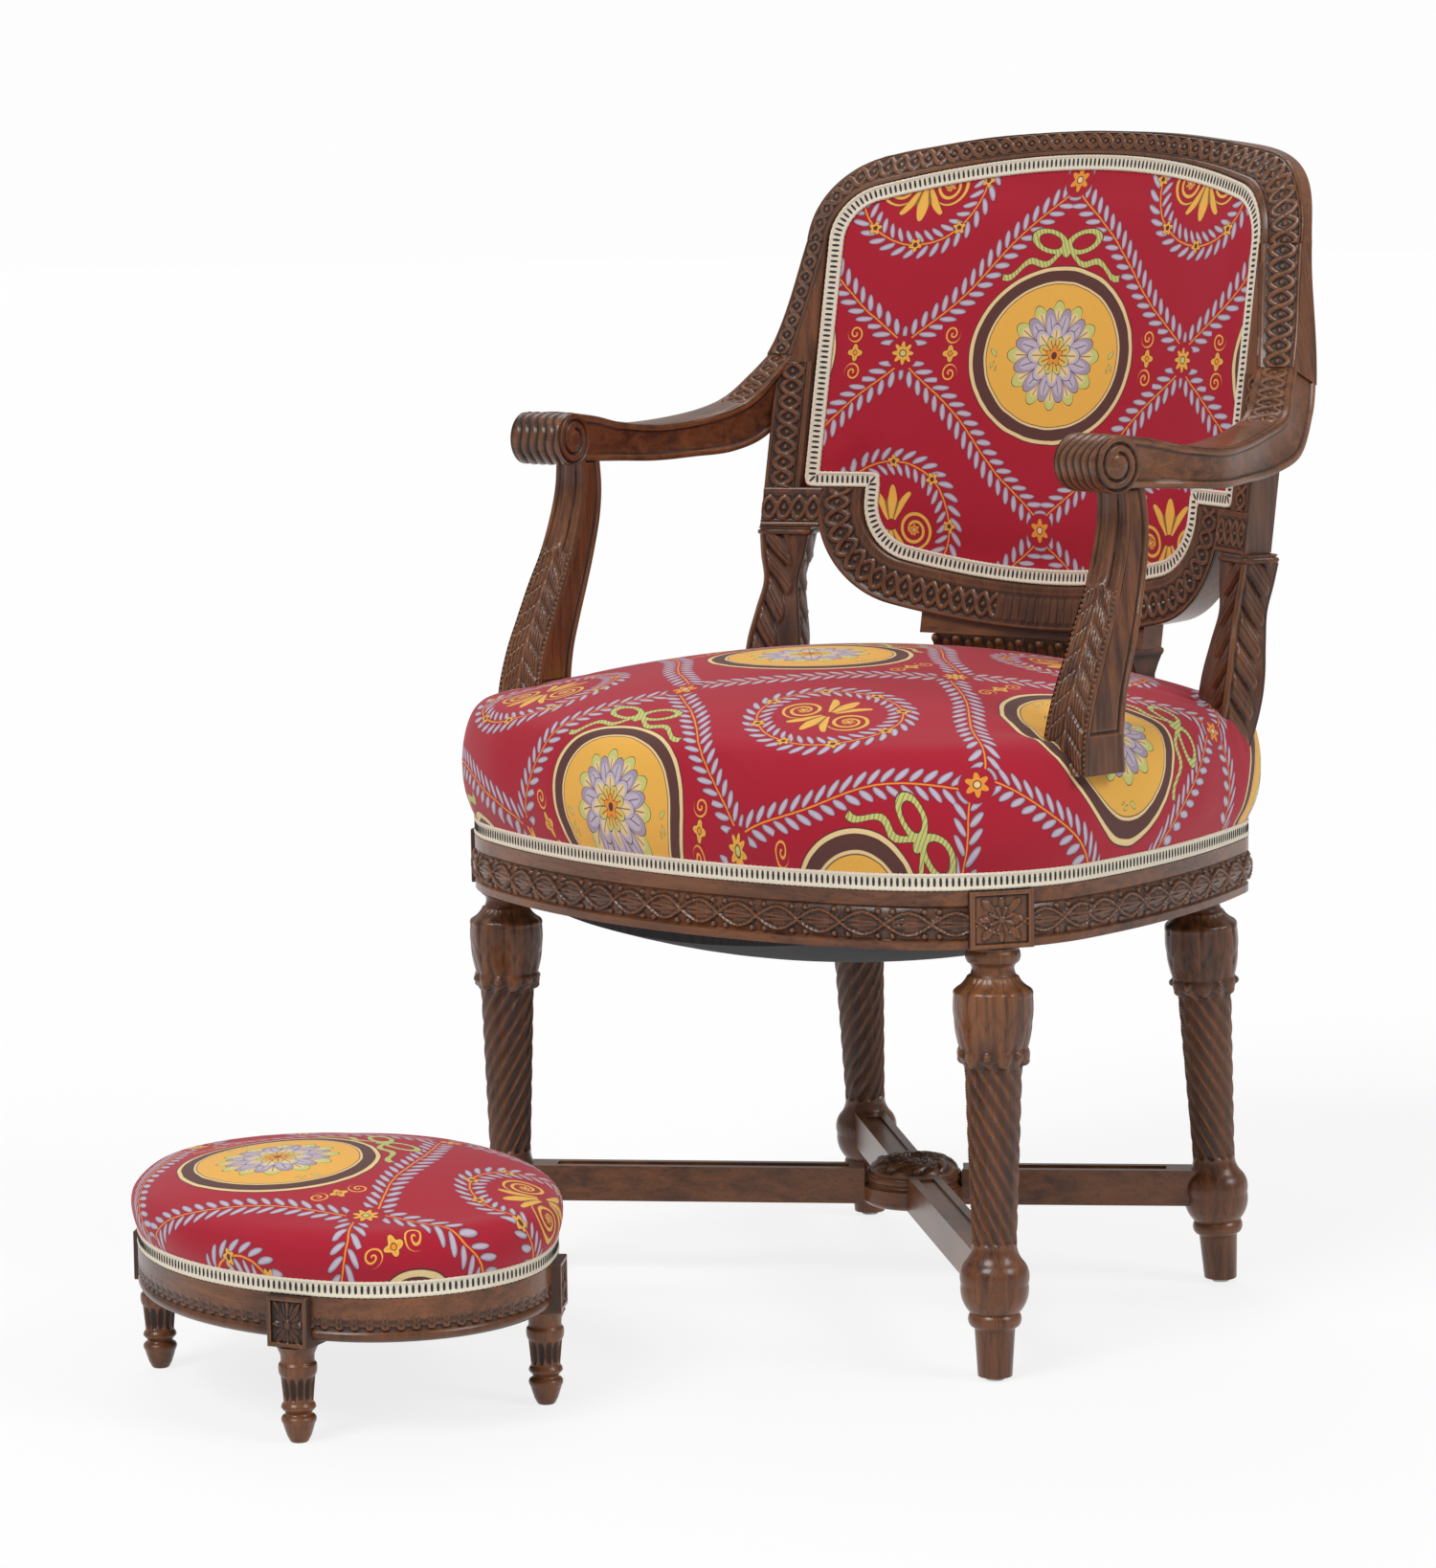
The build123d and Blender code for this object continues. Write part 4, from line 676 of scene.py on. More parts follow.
back_base_y, back_rake, dish_radius, frame_proud = 239.2, 0.168, 530.0, 3.0
opening_half, opening_low_z, opening_corner, opening_bow = 239.0, 575.0, 50.0, 23.5
notch_half, notch_corner, notch_bow = 186.0, 54.0, 14.0
notch_spring_z = opening_low_z + notch_corner + notch_bow
crest_half, crest_joint_z, crest_corner, crest_bow = 273.5, 867.0, 75.0, 18.0
shoulder_z, stile_low_z, stile_high_z, stile_outer = 652.5, 618.0, 762.0, 268.0
flare_foot_z, flare_rise, flare_reach = 767.0, 100.0, 18.0
flare_shape = ((0, 0.13, 0.52, 1.0), (1.0, 0.82, 0.42, 0.0))
lower_rail_width, tongue_reach = 38.0, 48.0
bead_pitch, bead_radius, cord_radius, cord_margin = 13.4, 1.9, 2.2, 2.3
ray_start_y, strip_columns, arc_steps = -400, 34, 200

for node in ("crest_rail", "lower_back_rail", "back_plinth"):
    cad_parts[node].data.materials[0] = wood_across
for node in ("left_stile", "right_stile"):
    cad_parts[node].data.materials[0] = wood_upright


def back_y(x, z):
    """The face of the back, raked up its height and dished across its width."""
    return back_base_y + back_rake * (z - opening_low_z) - dish_radius + np.sqrt(dish_radius ** 2 - x ** 2)


def unit(vectors):
    return vectors / np.maximum(np.linalg.norm(vectors, axis=-1, keepdims=True), 1e-9)


def run_along(line):
    """The length run so far at each point of a line."""
    return np.concatenate([[0], np.cumsum(np.linalg.norm(np.diff(line, axis=0), axis=1))])


def guilloche(run, across, half):
    """Relief of two interlaced cords with a bead in each eye."""
    swing = half - cord_margin
    ground = np.zeros(np.broadcast(run, across).shape)
    for sign in (1, -1):
        nearest, lift = np.full(ground.shape, 1e6), np.zeros(ground.shape)
        for step in np.linspace(-0.6, 0.6, 25) * bead_pitch:
            turn = math.pi * (run + step) / bead_pitch
            line = sign * swing * np.sign(np.sin(turn)) * np.abs(np.sin(turn)) ** 0.8
            away = step ** 2 + (across - line) ** 2
            lift = np.where(away < nearest, sign * np.cos(turn), lift)
            nearest = np.minimum(away, nearest)
        away = np.sqrt(nearest) / cord_radius
        body = knob(away, 1.0) * 1.5 - 0.45 * np.exp(-(away / 0.22) ** 2)
        ground = np.maximum(ground, np.where(away < 1, body + 0.55 * (lift + 1) * 0.5, 0))
    spot = np.hypot(to_nearest(run / bead_pitch - 0.5) * bead_pitch, across)
    return np.maximum(ground, bead_radius * knob(spot, bead_radius))


def tongues(run, across, half):
    """Relief of a row of upright tongues."""
    wave = np.abs(np.cos(math.pi * run / bead_pitch * 1.6))
    end = np.sqrt(np.clip(1 - (np.abs(across) / half) ** 4, 0, 1))
    return (0.3 + 1.3 * wave ** 0.6) * end


def laid_strip(name, inner, outer, nodes, share, ornament):
    """A carved skin over the front of some nodes, between two lines given in the front view."""
    solid = solid_of(*nodes)
    shares = np.linspace(0.012, 0.988, strip_columns)
    flat = inner[:, None] + (outer - inner)[:, None] * shares[None, :, None]
    depth = back_y(flat[..., 0], flat[..., 1]) - frame_proud
    for row, line in enumerate(flat):
        hits = [solid.ray_cast((x, ray_start_y, z), (0, 1, 0))[0] for x, z in line]
        found = [hit is not None for hit in hits]
        if any(found):
            depth[row] = np.interp(shares, shares[found], [hit.y for hit in hits if hit is not None])
    base = np.stack([flat[..., 0], depth, flat[..., 1]], -1)
    along, side = np.gradient(base, axis=0), np.gradient(base, axis=1)
    normal = unit(np.cross(along, side))
    normal *= -np.sign(normal[..., 1:2])
    width = np.linalg.norm(base[:, -1] - base[:, 0], axis=1)[:, None]
    run = run_along(base[:, strip_columns // 2])[:, None]
    low, high = share
    half = width * (high - low) / 2
    across = (shares[None, :] - (low + high) / 2) * width
    inside = smooth(half - np.abs(across), 0.0, 0.7)
    border = 1.15 - 0.9 * np.exp(-((np.abs(across) - half - 0.9) / 0.8) ** 2)
    edge = np.minimum(shares[None, :], 1 - shares[None, :]) * width
    border -= 0.6 * (1 - smooth(edge, 0.2, 1.4))
    relief = 0.12 + inside * ornament(run - run[-1] / 2, across, half) + (1 - inside) * border
    front = base + normal * relief[..., None]
    back = np.stack([base[:, -1] - normal[:, -1] * 1.6, base[:, 0] - normal[:, 0] * 1.6], 1)
    # Painted shade in the hollows and on the low ground of the carved band, painted highlight on the high points
    painted_light = np.pad(painted_light_of(relief, 2, 0.6) - 0.25 * inside * (relief < 0.6), ((0, 0), (0, 2)))
    mesh = tube_mesh(name, np.concatenate([front, back], 1), painted_light=painted_light)
    new_piece(name, mesh, wood_carved, "chair")


def along_arcs(arcs, count, level):
    """Points along arcs, the same number on each."""
    points = []
    for x, y, radius, first, last in arcs:
        angle = np.linspace(first, last, count)
        points.append(np.stack([x + radius * np.cos(angle), level + y + radius * np.sin(angle)], 1))
    return np.concatenate([points[0]] + [part[1:] for part in points[1:]])


def lower_rail_ornament(run, across, half):
    """Guilloche on both sides, and upright tongues in the middle of the rail."""
    middle = smooth(tongue_reach - np.abs(run), 0, 3)
    return guilloche(run, across, half) * (1 - middle) + tongues(run, across, half) * middle


crown_inner = corner_and_end(opening_half, opening_corner, opening_bow)
crown_outer = corner_and_end(crest_half, crest_corner, crest_bow)
inner, outer = (along_arcs(upper_half(quarter, 0), arc_steps, crest_joint_z) for quarter in (crown_inner, crown_outer))
laid_strip("crest_guilloche", inner, outer, ["crest_rail"], (0.22, 0.9), guilloche)

notch_inner = lower_half(corner_and_end(notch_half, notch_corner, notch_bow), 0)
notch_outer = [(x, y, radius + lower_rail_width, first, last) for x, y, radius, first, last in notch_inner]
end_x = notch_half + lower_rail_width
lines = []
for arcs, low_x, high_x in ((notch_inner, notch_half, notch_half), (notch_outer, end_x - 0.6, end_x - 3.8)):
    jamb = np.linspace((-high_x, shoulder_z - 0.6), (-low_x, notch_spring_z + 0.5), 10)
    lines.append(np.concatenate([jamb, along_arcs(arcs, arc_steps, notch_spring_z), jamb[::-1] * (-1, 1)]))
laid_strip(
    "lower_rail_guilloche", *lines, ["lower_back_rail", "left_stile", "right_stile"], (0.26, 0.86),
    lower_rail_ornament)

levels = np.linspace(0, 1, 116)[:, None]
reach = flare_reach * np.interp(levels, *flare_shape)
z = flare_foot_z + 1 + (flare_rise - 1.5) * levels
flare_lines = [np.concatenate([half + reach, z], 1) for half in (opening_half, crest_half)]
stile_lines = [np.linspace((x, shoulder_z), (x, stile_high_z), 130) for x in (opening_half, stile_outer)]
shoulder_lines = [np.linspace((end_x - 3, z), (stile_outer, z), 54) for z in (shoulder_z, stile_low_z)]
for side, sign in (("right", 1), ("left", -1)):
    for name, (inner, outer), nodes, share in (
            ("flare", flare_lines, [f"{side}_stile"], (0.2, 0.88)),
            ("stile", stile_lines, [f"{side}_stile"], (0.22, 0.86)),
            ("shoulder", shoulder_lines, [f"{side}_stile", "lower_back_rail"], (0.2, 0.84))):
        laid_strip(f"{side}_{name}_guilloche", inner * (sign, 1), outer * (sign, 1), nodes, share, guilloche)


# Each arm is one piece of walnut, hollowed along its sides and crowned on top. It ends in front in
# a roll with a volute on each cheek, and behind it sweeps up into the stile, where it is carved.

arm_front_y, arm_low_z, arm_width, arm_depth = -45.0, 712.6, 51.0, 40.0
arm_outer_x, arm_skew, arm_steps, flare_back, arm_end = 336.0, 5, 330, 22, (0, 30, -14.1)
arm_carved_from, arm_band_share = 212, 0.72
arm_table = np.array([
    (0, 0.34, 0.265, 0.784, 0, 0, 1.0), (0.134, 0.34, 0.19, 0.725, 0, 0, 0.95),
    (0.263, 0.09, 0.072, 0.882, 0, 0, 0.83), (0.425, 0, 0, 1.0, 0, 0, 0.78),
    (0.587, 0.2, 0.04, 0.937, 0, 0, 0.8), (0.749, 0.447, 0.164, 0.824, 0.2, 0.15, 0.9),
    (0.86, 0.557, 0.357, 0.8, 0.9, 0.45, 0.85), (0.937, 0.82, 0.706, 0.72, 1.0, 0.75, 0.55)])
roll_radius, roll_width, roll_turn, roll_x, roll_y, roll_z = 22.0, 53.0, 10.4, 300.88, -54.0, 706.0
roll_sides, cheek_rings, barrel_rings = 132, 34, 52
volute_start, volute_pitch, volute_groove, reed_pitch = 8.6, 7.4, 1.25, 8.6


def flowing(sections, count):
    """Sections filled in by a smooth curve through those that are given."""
    rows = np.asarray(sections, float)
    last = len(rows) - 1
    place = np.linspace(0, last, count)
    index = np.minimum(place.astype(int), last - 1)
    share = (place - index).reshape((-1,) + (1,) * (rows.ndim - 1))
    before, after = rows[np.maximum(index - 1, 0)], rows[np.minimum(index + 2, last)]
    start, end = rows[index], rows[index + 1]
    lead, tail = (end - before) / 2, (after - start) / 2
    return (
        start * (2 * share ** 3 - 3 * share ** 2 + 1) + lead * (share ** 3 - 2 * share ** 2 + share)
        + end * (3 * share ** 2 - 2 * share ** 3) + tail * (share ** 3 - share ** 2))


def carved_member(name, corners, steps, carvings, finish):
    """A four-sided member through sections of four corners, each side with its own relief."""
    middle = corners.mean(1)
    run = run_along(middle)[:, None]
    tangent = unit(np.gradient(middle, axis=0))
    sides, painted_lights = [], []
    for face in range(4):
        start, end = corners[:, face], corners[:, (face + 1) % 4]
        share = (np.arange(steps[face]) + 0.5) / steps[face]
        base = start[:, None] + (end - start)[:, None] * share[None, :, None]
        width = np.linalg.norm(end - start, axis=1)[:, None]
        normal = unit(np.cross(end - start, tangent))
        outward = np.sign(np.einsum("ij,ij->i", normal, (start + end) / 2 - middle))[:, None]
        edge = np.minimum(share, 1 - share)[None, :] * width
        relief = carvings[face](run, (share - 0.5)[None, :] * width, width / 2) - 0.8 * np.exp(-(edge / 0.9) ** 2)
        sides.append(base + (normal * outward)[:, None] * relief[..., None])
        # Painted shade in the hollows of each face, painted highlight on its high points
        painted_lights.append(painted_light_of(relief, 2, 0.7))
    mesh = tube_mesh(name, np.concatenate(sides, 1), painted_light=np.concatenate(painted_lights, 1))
    return new_piece(name, mesh, finish, "chair")


def hollowed(run, across, half):
    """A shallow cove between two fillets."""
    return -2.3 * smooth(half - 4.6 - np.abs(across), 0, 1.4) * np.sqrt(np.clip(1 - (across / half) ** 2, 0.1, 1))


def plain_face(run, across, half):
    return np.zeros(np.broadcast(run, across).shape)


def arm_top(run, across, half):
    """A low crown between two quirks, and a guilloche where the arm sweeps up."""
    carved = smooth(run, arm_carved_from, arm_carved_from + 4)
    band_half = half * arm_band_share
    band = smooth(band_half - np.abs(across), 0, 0.8)
    crown = 1.4 * (1 - (across / half) ** 2) - 0.8 * np.exp(-((half - np.abs(across) - 4) / 0.8) ** 2)
    return crown * (1 - carved) + carved * (guilloche(run, across, band_half) - 0.9) * band


flare_inner, flare_outer = (
    np.array([half + flare_reach, back_y(half + flare_reach, flare_foot_z) + behind, flare_foot_z])
    for half, behind in ((opening_half, -frame_proud), (crest_half, flare_back)))
sections = []
for run, draw, rise, wide, skew, behind, drop in arm_table:
    x = arm_outer_x - (arm_outer_x - flare_outer[0]) * draw
    y = arm_front_y + (flare_inner[1] - arm_front_y) * run
    z = arm_low_z + (flare_foot_z - arm_low_z) * rise
    back = np.array([0, arm_depth * behind, -arm_depth * drop])
    inner, outer = np.array([x - arm_width * wide, y, z]), np.array([x, y + arm_skew * skew, z])
    sections.append([inner, outer, outer + back, inner + back])
back = np.array(arm_end)
sections.append([flare_inner, flare_outer, flare_outer + back, flare_inner + back])
arm_corners = flowing(sections, arm_steps)

angle = np.linspace(0, 2 * math.pi, roll_sides, endpoint=False)[None, :]
cheek = np.linspace(0.4, roll_radius, cheek_rings)[:, None]
groove = np.zeros((cheek_rings, roll_sides))
for lap in (0, 1):
    line = volute_start + volute_pitch * ((0.25 - angle / (2 * math.pi)) % 1.0 + lap)
    groove = np.maximum(groove, np.exp(-((cheek - line) / volute_groove) ** 2) * (line < roll_radius + 1))
swell = roll_width / 2 + smooth(8.0 - cheek, 0, 3) - 2.3 * groove - 0.8 * (cheek > roll_radius - 0.4)
barrel = np.linspace(-roll_width / 2, roll_width / 2, barrel_rings)[1:-1, None]
reeds = np.abs(np.sin(math.pi * (barrel + 2.4 * np.sin(angle * 2 + 1.0) + 1.2 * np.sin(angle * 5)) / reed_pitch))
reeded = smooth(roll_width / 2 - np.abs(barrel), 4.0, 5.0)
cheek_reach = cheek + 0 * groove
roll_along = np.concatenate([-swell, barrel + 0 * reeds, swell[::-1]])
roll_reach = np.concatenate([cheek_reach, roll_radius + reeded * (1.5 * reeds ** 0.7 - 0.9), cheek_reach[::-1]])
# Painted shade in the volute grooves and between the reeds, painted highlight on the reeds
roll_painted_light = np.concatenate([-groove * 0.9, (reeds - 0.75) * 1.4 * reeded, -groove[::-1] * 0.9])

for side, sign in (("right", 1), ("left", -1)):
    arm = carved_member(
        f"{side}_arm_rail", arm_corners * (sign, 1, 1), (44, 30, 12, 30), (arm_top, hollowed, plain_face, hollowed),
        wood_across)
    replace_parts(arm, f"{side}_arm")
    axle, ahead = level_turn(math.radians(-sign * roll_turn))
    spokes = ahead * np.cos(angle)[..., None] + upward * np.sin(angle)[..., None]
    centre = np.array([sign * roll_x, roll_y, roll_z])
    rings = centre + axle * sign * roll_along[..., None] + spokes * roll_reach[..., None]
    roll = tube_mesh(f"{side}_arm_scroll", rings, painted_light=roll_painted_light, crease=60)
    new_piece(f"{side}_arm_scroll", roll, wood_across, "chair")


# The arm supports stand on the side rails, with their feet sunk in the seat. They sweep back as they
# rise. In front a tongue runs down between hollows, over a long leaf whose lobes overlap.

support_table = np.array([
    (0, 0.02, 0, 1.0, 1.0), (0.12, 0.04, 0, 0.95, 0.94), (0.25, 0.16, 0.02, 0.9, 0.87),
    (0.37, 0.35, 0.06, 0.86, 0.81), (0.5, 0.57, 0.16, 0.82, 0.75), (0.62, 0.77, 0.34, 0.75, 0.68),
    (0.75, 0.93, 0.54, 0.71, 0.62), (0.87, 1.0, 0.75, 0.67, 0.55), (1, 0.97, 1.0, 0.62, 0.5)])
support_low_z, support_high_z = 470.0, 694.0
support_foot_x, support_head_x, support_foot_y, support_sweep = 303.7, 298.48, -76.0, 54.0
support_width, support_depth, support_turn = 48.0, 46.0, 4.6
tongue_from, tongue_half, lobe_pitch, pearl_pitch = 148.0, 6.4, 17.5, 4.4
sunk_from, sunk_margin = 26, 4.2


def boxed(rows, turn_degrees):
    """The four corners of sections that are given by their middles, half widths and half depths."""
    across_x, across_y = level_turn(math.radians(-turn_degrees))
    rows = np.asarray(rows)
    return np.stack([
        rows[:, :3] + across_x * rows[:, 3:4] * wide + across_y * rows[:, 4:5] * deep
        for wide, deep in ((-1, -1), (1, -1), (1, 1), (-1, 1))], 1)


def support_front(run, across, half):
    """The leaf with overlapping lobes below, and the tongue above."""
    aside = np.abs(across)
    upper = smooth(run, tongue_from - 3, tongue_from + 3)
    lobe = ((run + 0.95 * aside) / lobe_pitch) % 1.0
    bulge = np.sqrt(np.clip(1 - (1 - lobe) ** 2.2, 0, 1)) * np.clip((1 - lobe) * 5, 0, 1) ** 0.5
    fan = 0.78 + 0.22 * np.cos(2 * math.pi * (aside / 3.4 + lobe * 0.6))
    edge = smooth(half - 3.2 - aside, 0, 2.0)
    foliage = edge * (3.3 * bulge * fan * (0.55 + 0.45 * aside / half)) + 2.0 * np.exp(-(across / 1.6) ** 2)
    tongue = 3.4 * knob(across, tongue_half) - 1.6 * smooth(half - 3.4 - aside, 0, 1.2)
    button = 2.4 * np.exp(-(((run - tongue_from) / 3.4) ** 2 + (across / 5) ** 2))
    pearls = 0.55 + 0.45 * np.cos(2 * math.pi * run / pearl_pitch)
    pearls = 1.2 * smooth(2.4 - np.abs(half - 1.6 - aside), 0, 1.2) * pearls
    return (foliage - 1.4 + pearls) * (1 - upper) + tongue * upper + button


def bordered(run, across, half):
    """A sunk face between narrow borders."""
    inside = np.minimum(half - np.abs(across), np.minimum(run - sunk_from, run[-1] - run - 3)) - sunk_margin
    return -1.5 * smooth(inside, 0, 0.9) - 0.9 * np.exp(-((inside - 2) / 0.7) ** 2)


rise, sweep, lean_share, wide, deep = support_table.T
sections = np.stack([
    support_foot_x + (support_head_x - support_foot_x) * lean_share, support_foot_y + support_sweep * sweep,
    support_low_z + (support_high_z - support_low_z) * rise, support_width * wide / 2, support_depth * deep / 2], 1)
support_corners = boxed(flowing(sections, 290), support_turn)
for side, sign in (("right", 1), ("left", -1)):
    support = carved_member(
        f"{side}_arm_post", support_corners * (sign, 1, 1), (56, 42, 16, 42),
        (support_front, bordered, plain_face, bordered), wood_upright)
    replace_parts(support, f"{side}_arm_support")


# The rear posts and the splat carry the back above the seat. The posts are walnut, waisted and then
# flared, with a rib up two edges and leaf lobes that hang from it on both faces, under a turned cap.
# The splat has one row of tall leaves.

post_table = np.array([
    (0, 0, 0.42, 0.68), (0.2, 0.12, 0.5, 0.75), (0.45, 0.36, 0.96, 1.0), (0.58, 0.51, 1.0, 1.03),
    (0.71, 0.67, 0.8, 0.95), (0.82, 0.82, 0.63, 0.88), (0.92, 0.92, 0.8, 0.93), (1, 1.0, 0.9, 0.97)])
post_foot, post_head = np.array([249.57, 158.0]), np.array([255.0, back_y(255.0, 618.0) + 13])
post_low_z, post_high_z, post_width, post_depth, post_turn = 386.0, 611.0, 48.0, 32.0, 25.0
lobe_step, lobe_reach = 25.0, 23.0


def climbing_leaf(towards):
    """One side of a leaf: a rib up the edge of the face, and lobes that hang from it."""
    def carving(run, across, half):
        aside = half - towards * across
        lobe = ((run + 1.2 * aside) / lobe_step) % 1.0
        bulge = np.sin(math.pi * lobe) ** 0.6 * (1.15 - 0.4 * lobe)
        veins = 0.93 + 0.07 * np.cos(2 * math.pi * lobe * 4)
        column = smooth(aside, 3.4, 6.4) * smooth(lobe_reach - aside + 5.0 * np.sin(math.pi * lobe), 0, 3.5)
        rib = 1.7 * np.exp(-((aside - 1.0) / 2.4) ** 2)
        return column * (5.0 * bulge * veins - 2.4) + rib - 0.3
    return carving


cap_profile = (
    (0.2, -1.5), (0.4, 0.5), (2.4, 1.2), (4.2, 0.4), (4.4, -0.8), (5.4, -0.8), (5.6, 0), (6.9, 0))
rise, along, wide, deep = post_table.T
x, y = (post_foot + (post_head - post_foot) * along[:, None]).T
sections = np.stack([
    x, y, post_low_z + (post_high_z - post_low_z) * rise, post_width * wide / 2, post_depth * deep / 2], 1)
post_corners = boxed(flowing(sections, 260), post_turn)
cap_corners = boxed([
    (*post_head, post_high_z + step, post_width / 2 + grow, post_depth / 2 + grow)
    for step, grow in cap_profile], post_turn)
leaves = (climbing_leaf(1), climbing_leaf(-1), climbing_leaf(-1), climbing_leaf(1))
for side, sign in (("right", 1), ("left", -1)):
    post = carved_member(f"{side}_leaf_post", post_corners * (sign, 1, 1), (44, 32, 24, 16), leaves, wood_carved)
    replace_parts(post, f"{side}_rear_post")
    carved_member(f"{side}_post_cap", cap_corners * (sign, 1, 1), (6, 5, 6, 5), [plain_face] * 4, wood_across)

splat_half, splat_low_z, splat_high_z, splat_depth, splat_rear_y = 112.0, 386.0, 528.6, 18.0, 258.0
splat_leaf_z, splat_leaf_pitch, splat_knob_radius = 468, 22.4, 4.2
splat_rows = ((0.5, -0.15, 0.93, 2.6, 1.02), (0.0, -0.25, 1.0, 4.0, 0.94))

angle = np.linspace(-1, 1, 216)[:, None] * math.asin(splat_half / dish_radius)
level = np.linspace(splat_low_z, splat_high_z, 100)[None, :]
climb = (level - splat_leaf_z) / (splat_high_z - splat_leaf_z)
flare = 7.5 * smooth(climb, 0.55, 1.0) ** 1.5 + 3.0 * smooth(0.35 - climb, 0, 0.4)
turns = angle * dish_radius / splat_leaf_pitch
blades = np.zeros(np.broadcast(turns, climb).shape)
for offset, low, high, rise, wide in splat_rows:
    blades = np.maximum(blades, leaf(lane(turns + offset) / wide, (climb - low) / (high - low), 3.5) * rise)
spot = np.hypot(lane(turns) * splat_leaf_pitch / 2, level - splat_high_z + splat_knob_radius)
blades = np.maximum(blades, 4.6 * knob(spot, splat_knob_radius))
relief = flare + blades - 1.2
faces = []
for facing, depth in ((-1, 0), (1, splat_depth)):
    radius = dish_radius + depth + facing * relief
    y = splat_rear_y - splat_depth - dish_radius + radius * np.cos(angle)
    faces.append(np.stack([radius * np.sin(angle), y, level + 0 * radius], -1))
# Painted shade between the leaves and over the whole splat, painted highlight on the leaves' high points
splat_painted_light = painted_light_of(blades, 3, 0.9) - 0.25
splat = tube_mesh(
    "splat_leaves", np.concatenate([faces[0], faces[1][:, ::-1]], 1),
    painted_light=np.concatenate([splat_painted_light, splat_painted_light[:, ::-1]], 1))
splat = new_piece("splat_leaves", splat, wood_carved, "chair")
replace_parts(splat, "back_splat")


# The covers are a red printed cotton. Leafy stems cross in an ogee net with a blossom where they
# meet, round framed ovals and wreaths by turns. Each cover carries its cloth place in millimetres.

repeat_wide, repeat_tall = 318.0, 300.0
oval_half_wide, oval_half_tall, wreath_radius = 92.0, 76.0, 60.0
red, cream = colour(0.345, 0.0045, 0.021), colour(0.72, 0.55, 0.27)
mustard, orange = colour(0.74, 0.4, 0.065), colour(0.72, 0.26, 0.03)
lavender, pale_lavender = colour(0.33, 0.28, 0.36), colour(0.47, 0.42, 0.5)
lime, umber, ink = colour(0.5, 0.53, 0.16), colour(0.075, 0.032, 0.026), colour(0.06, 0.018, 0.02)


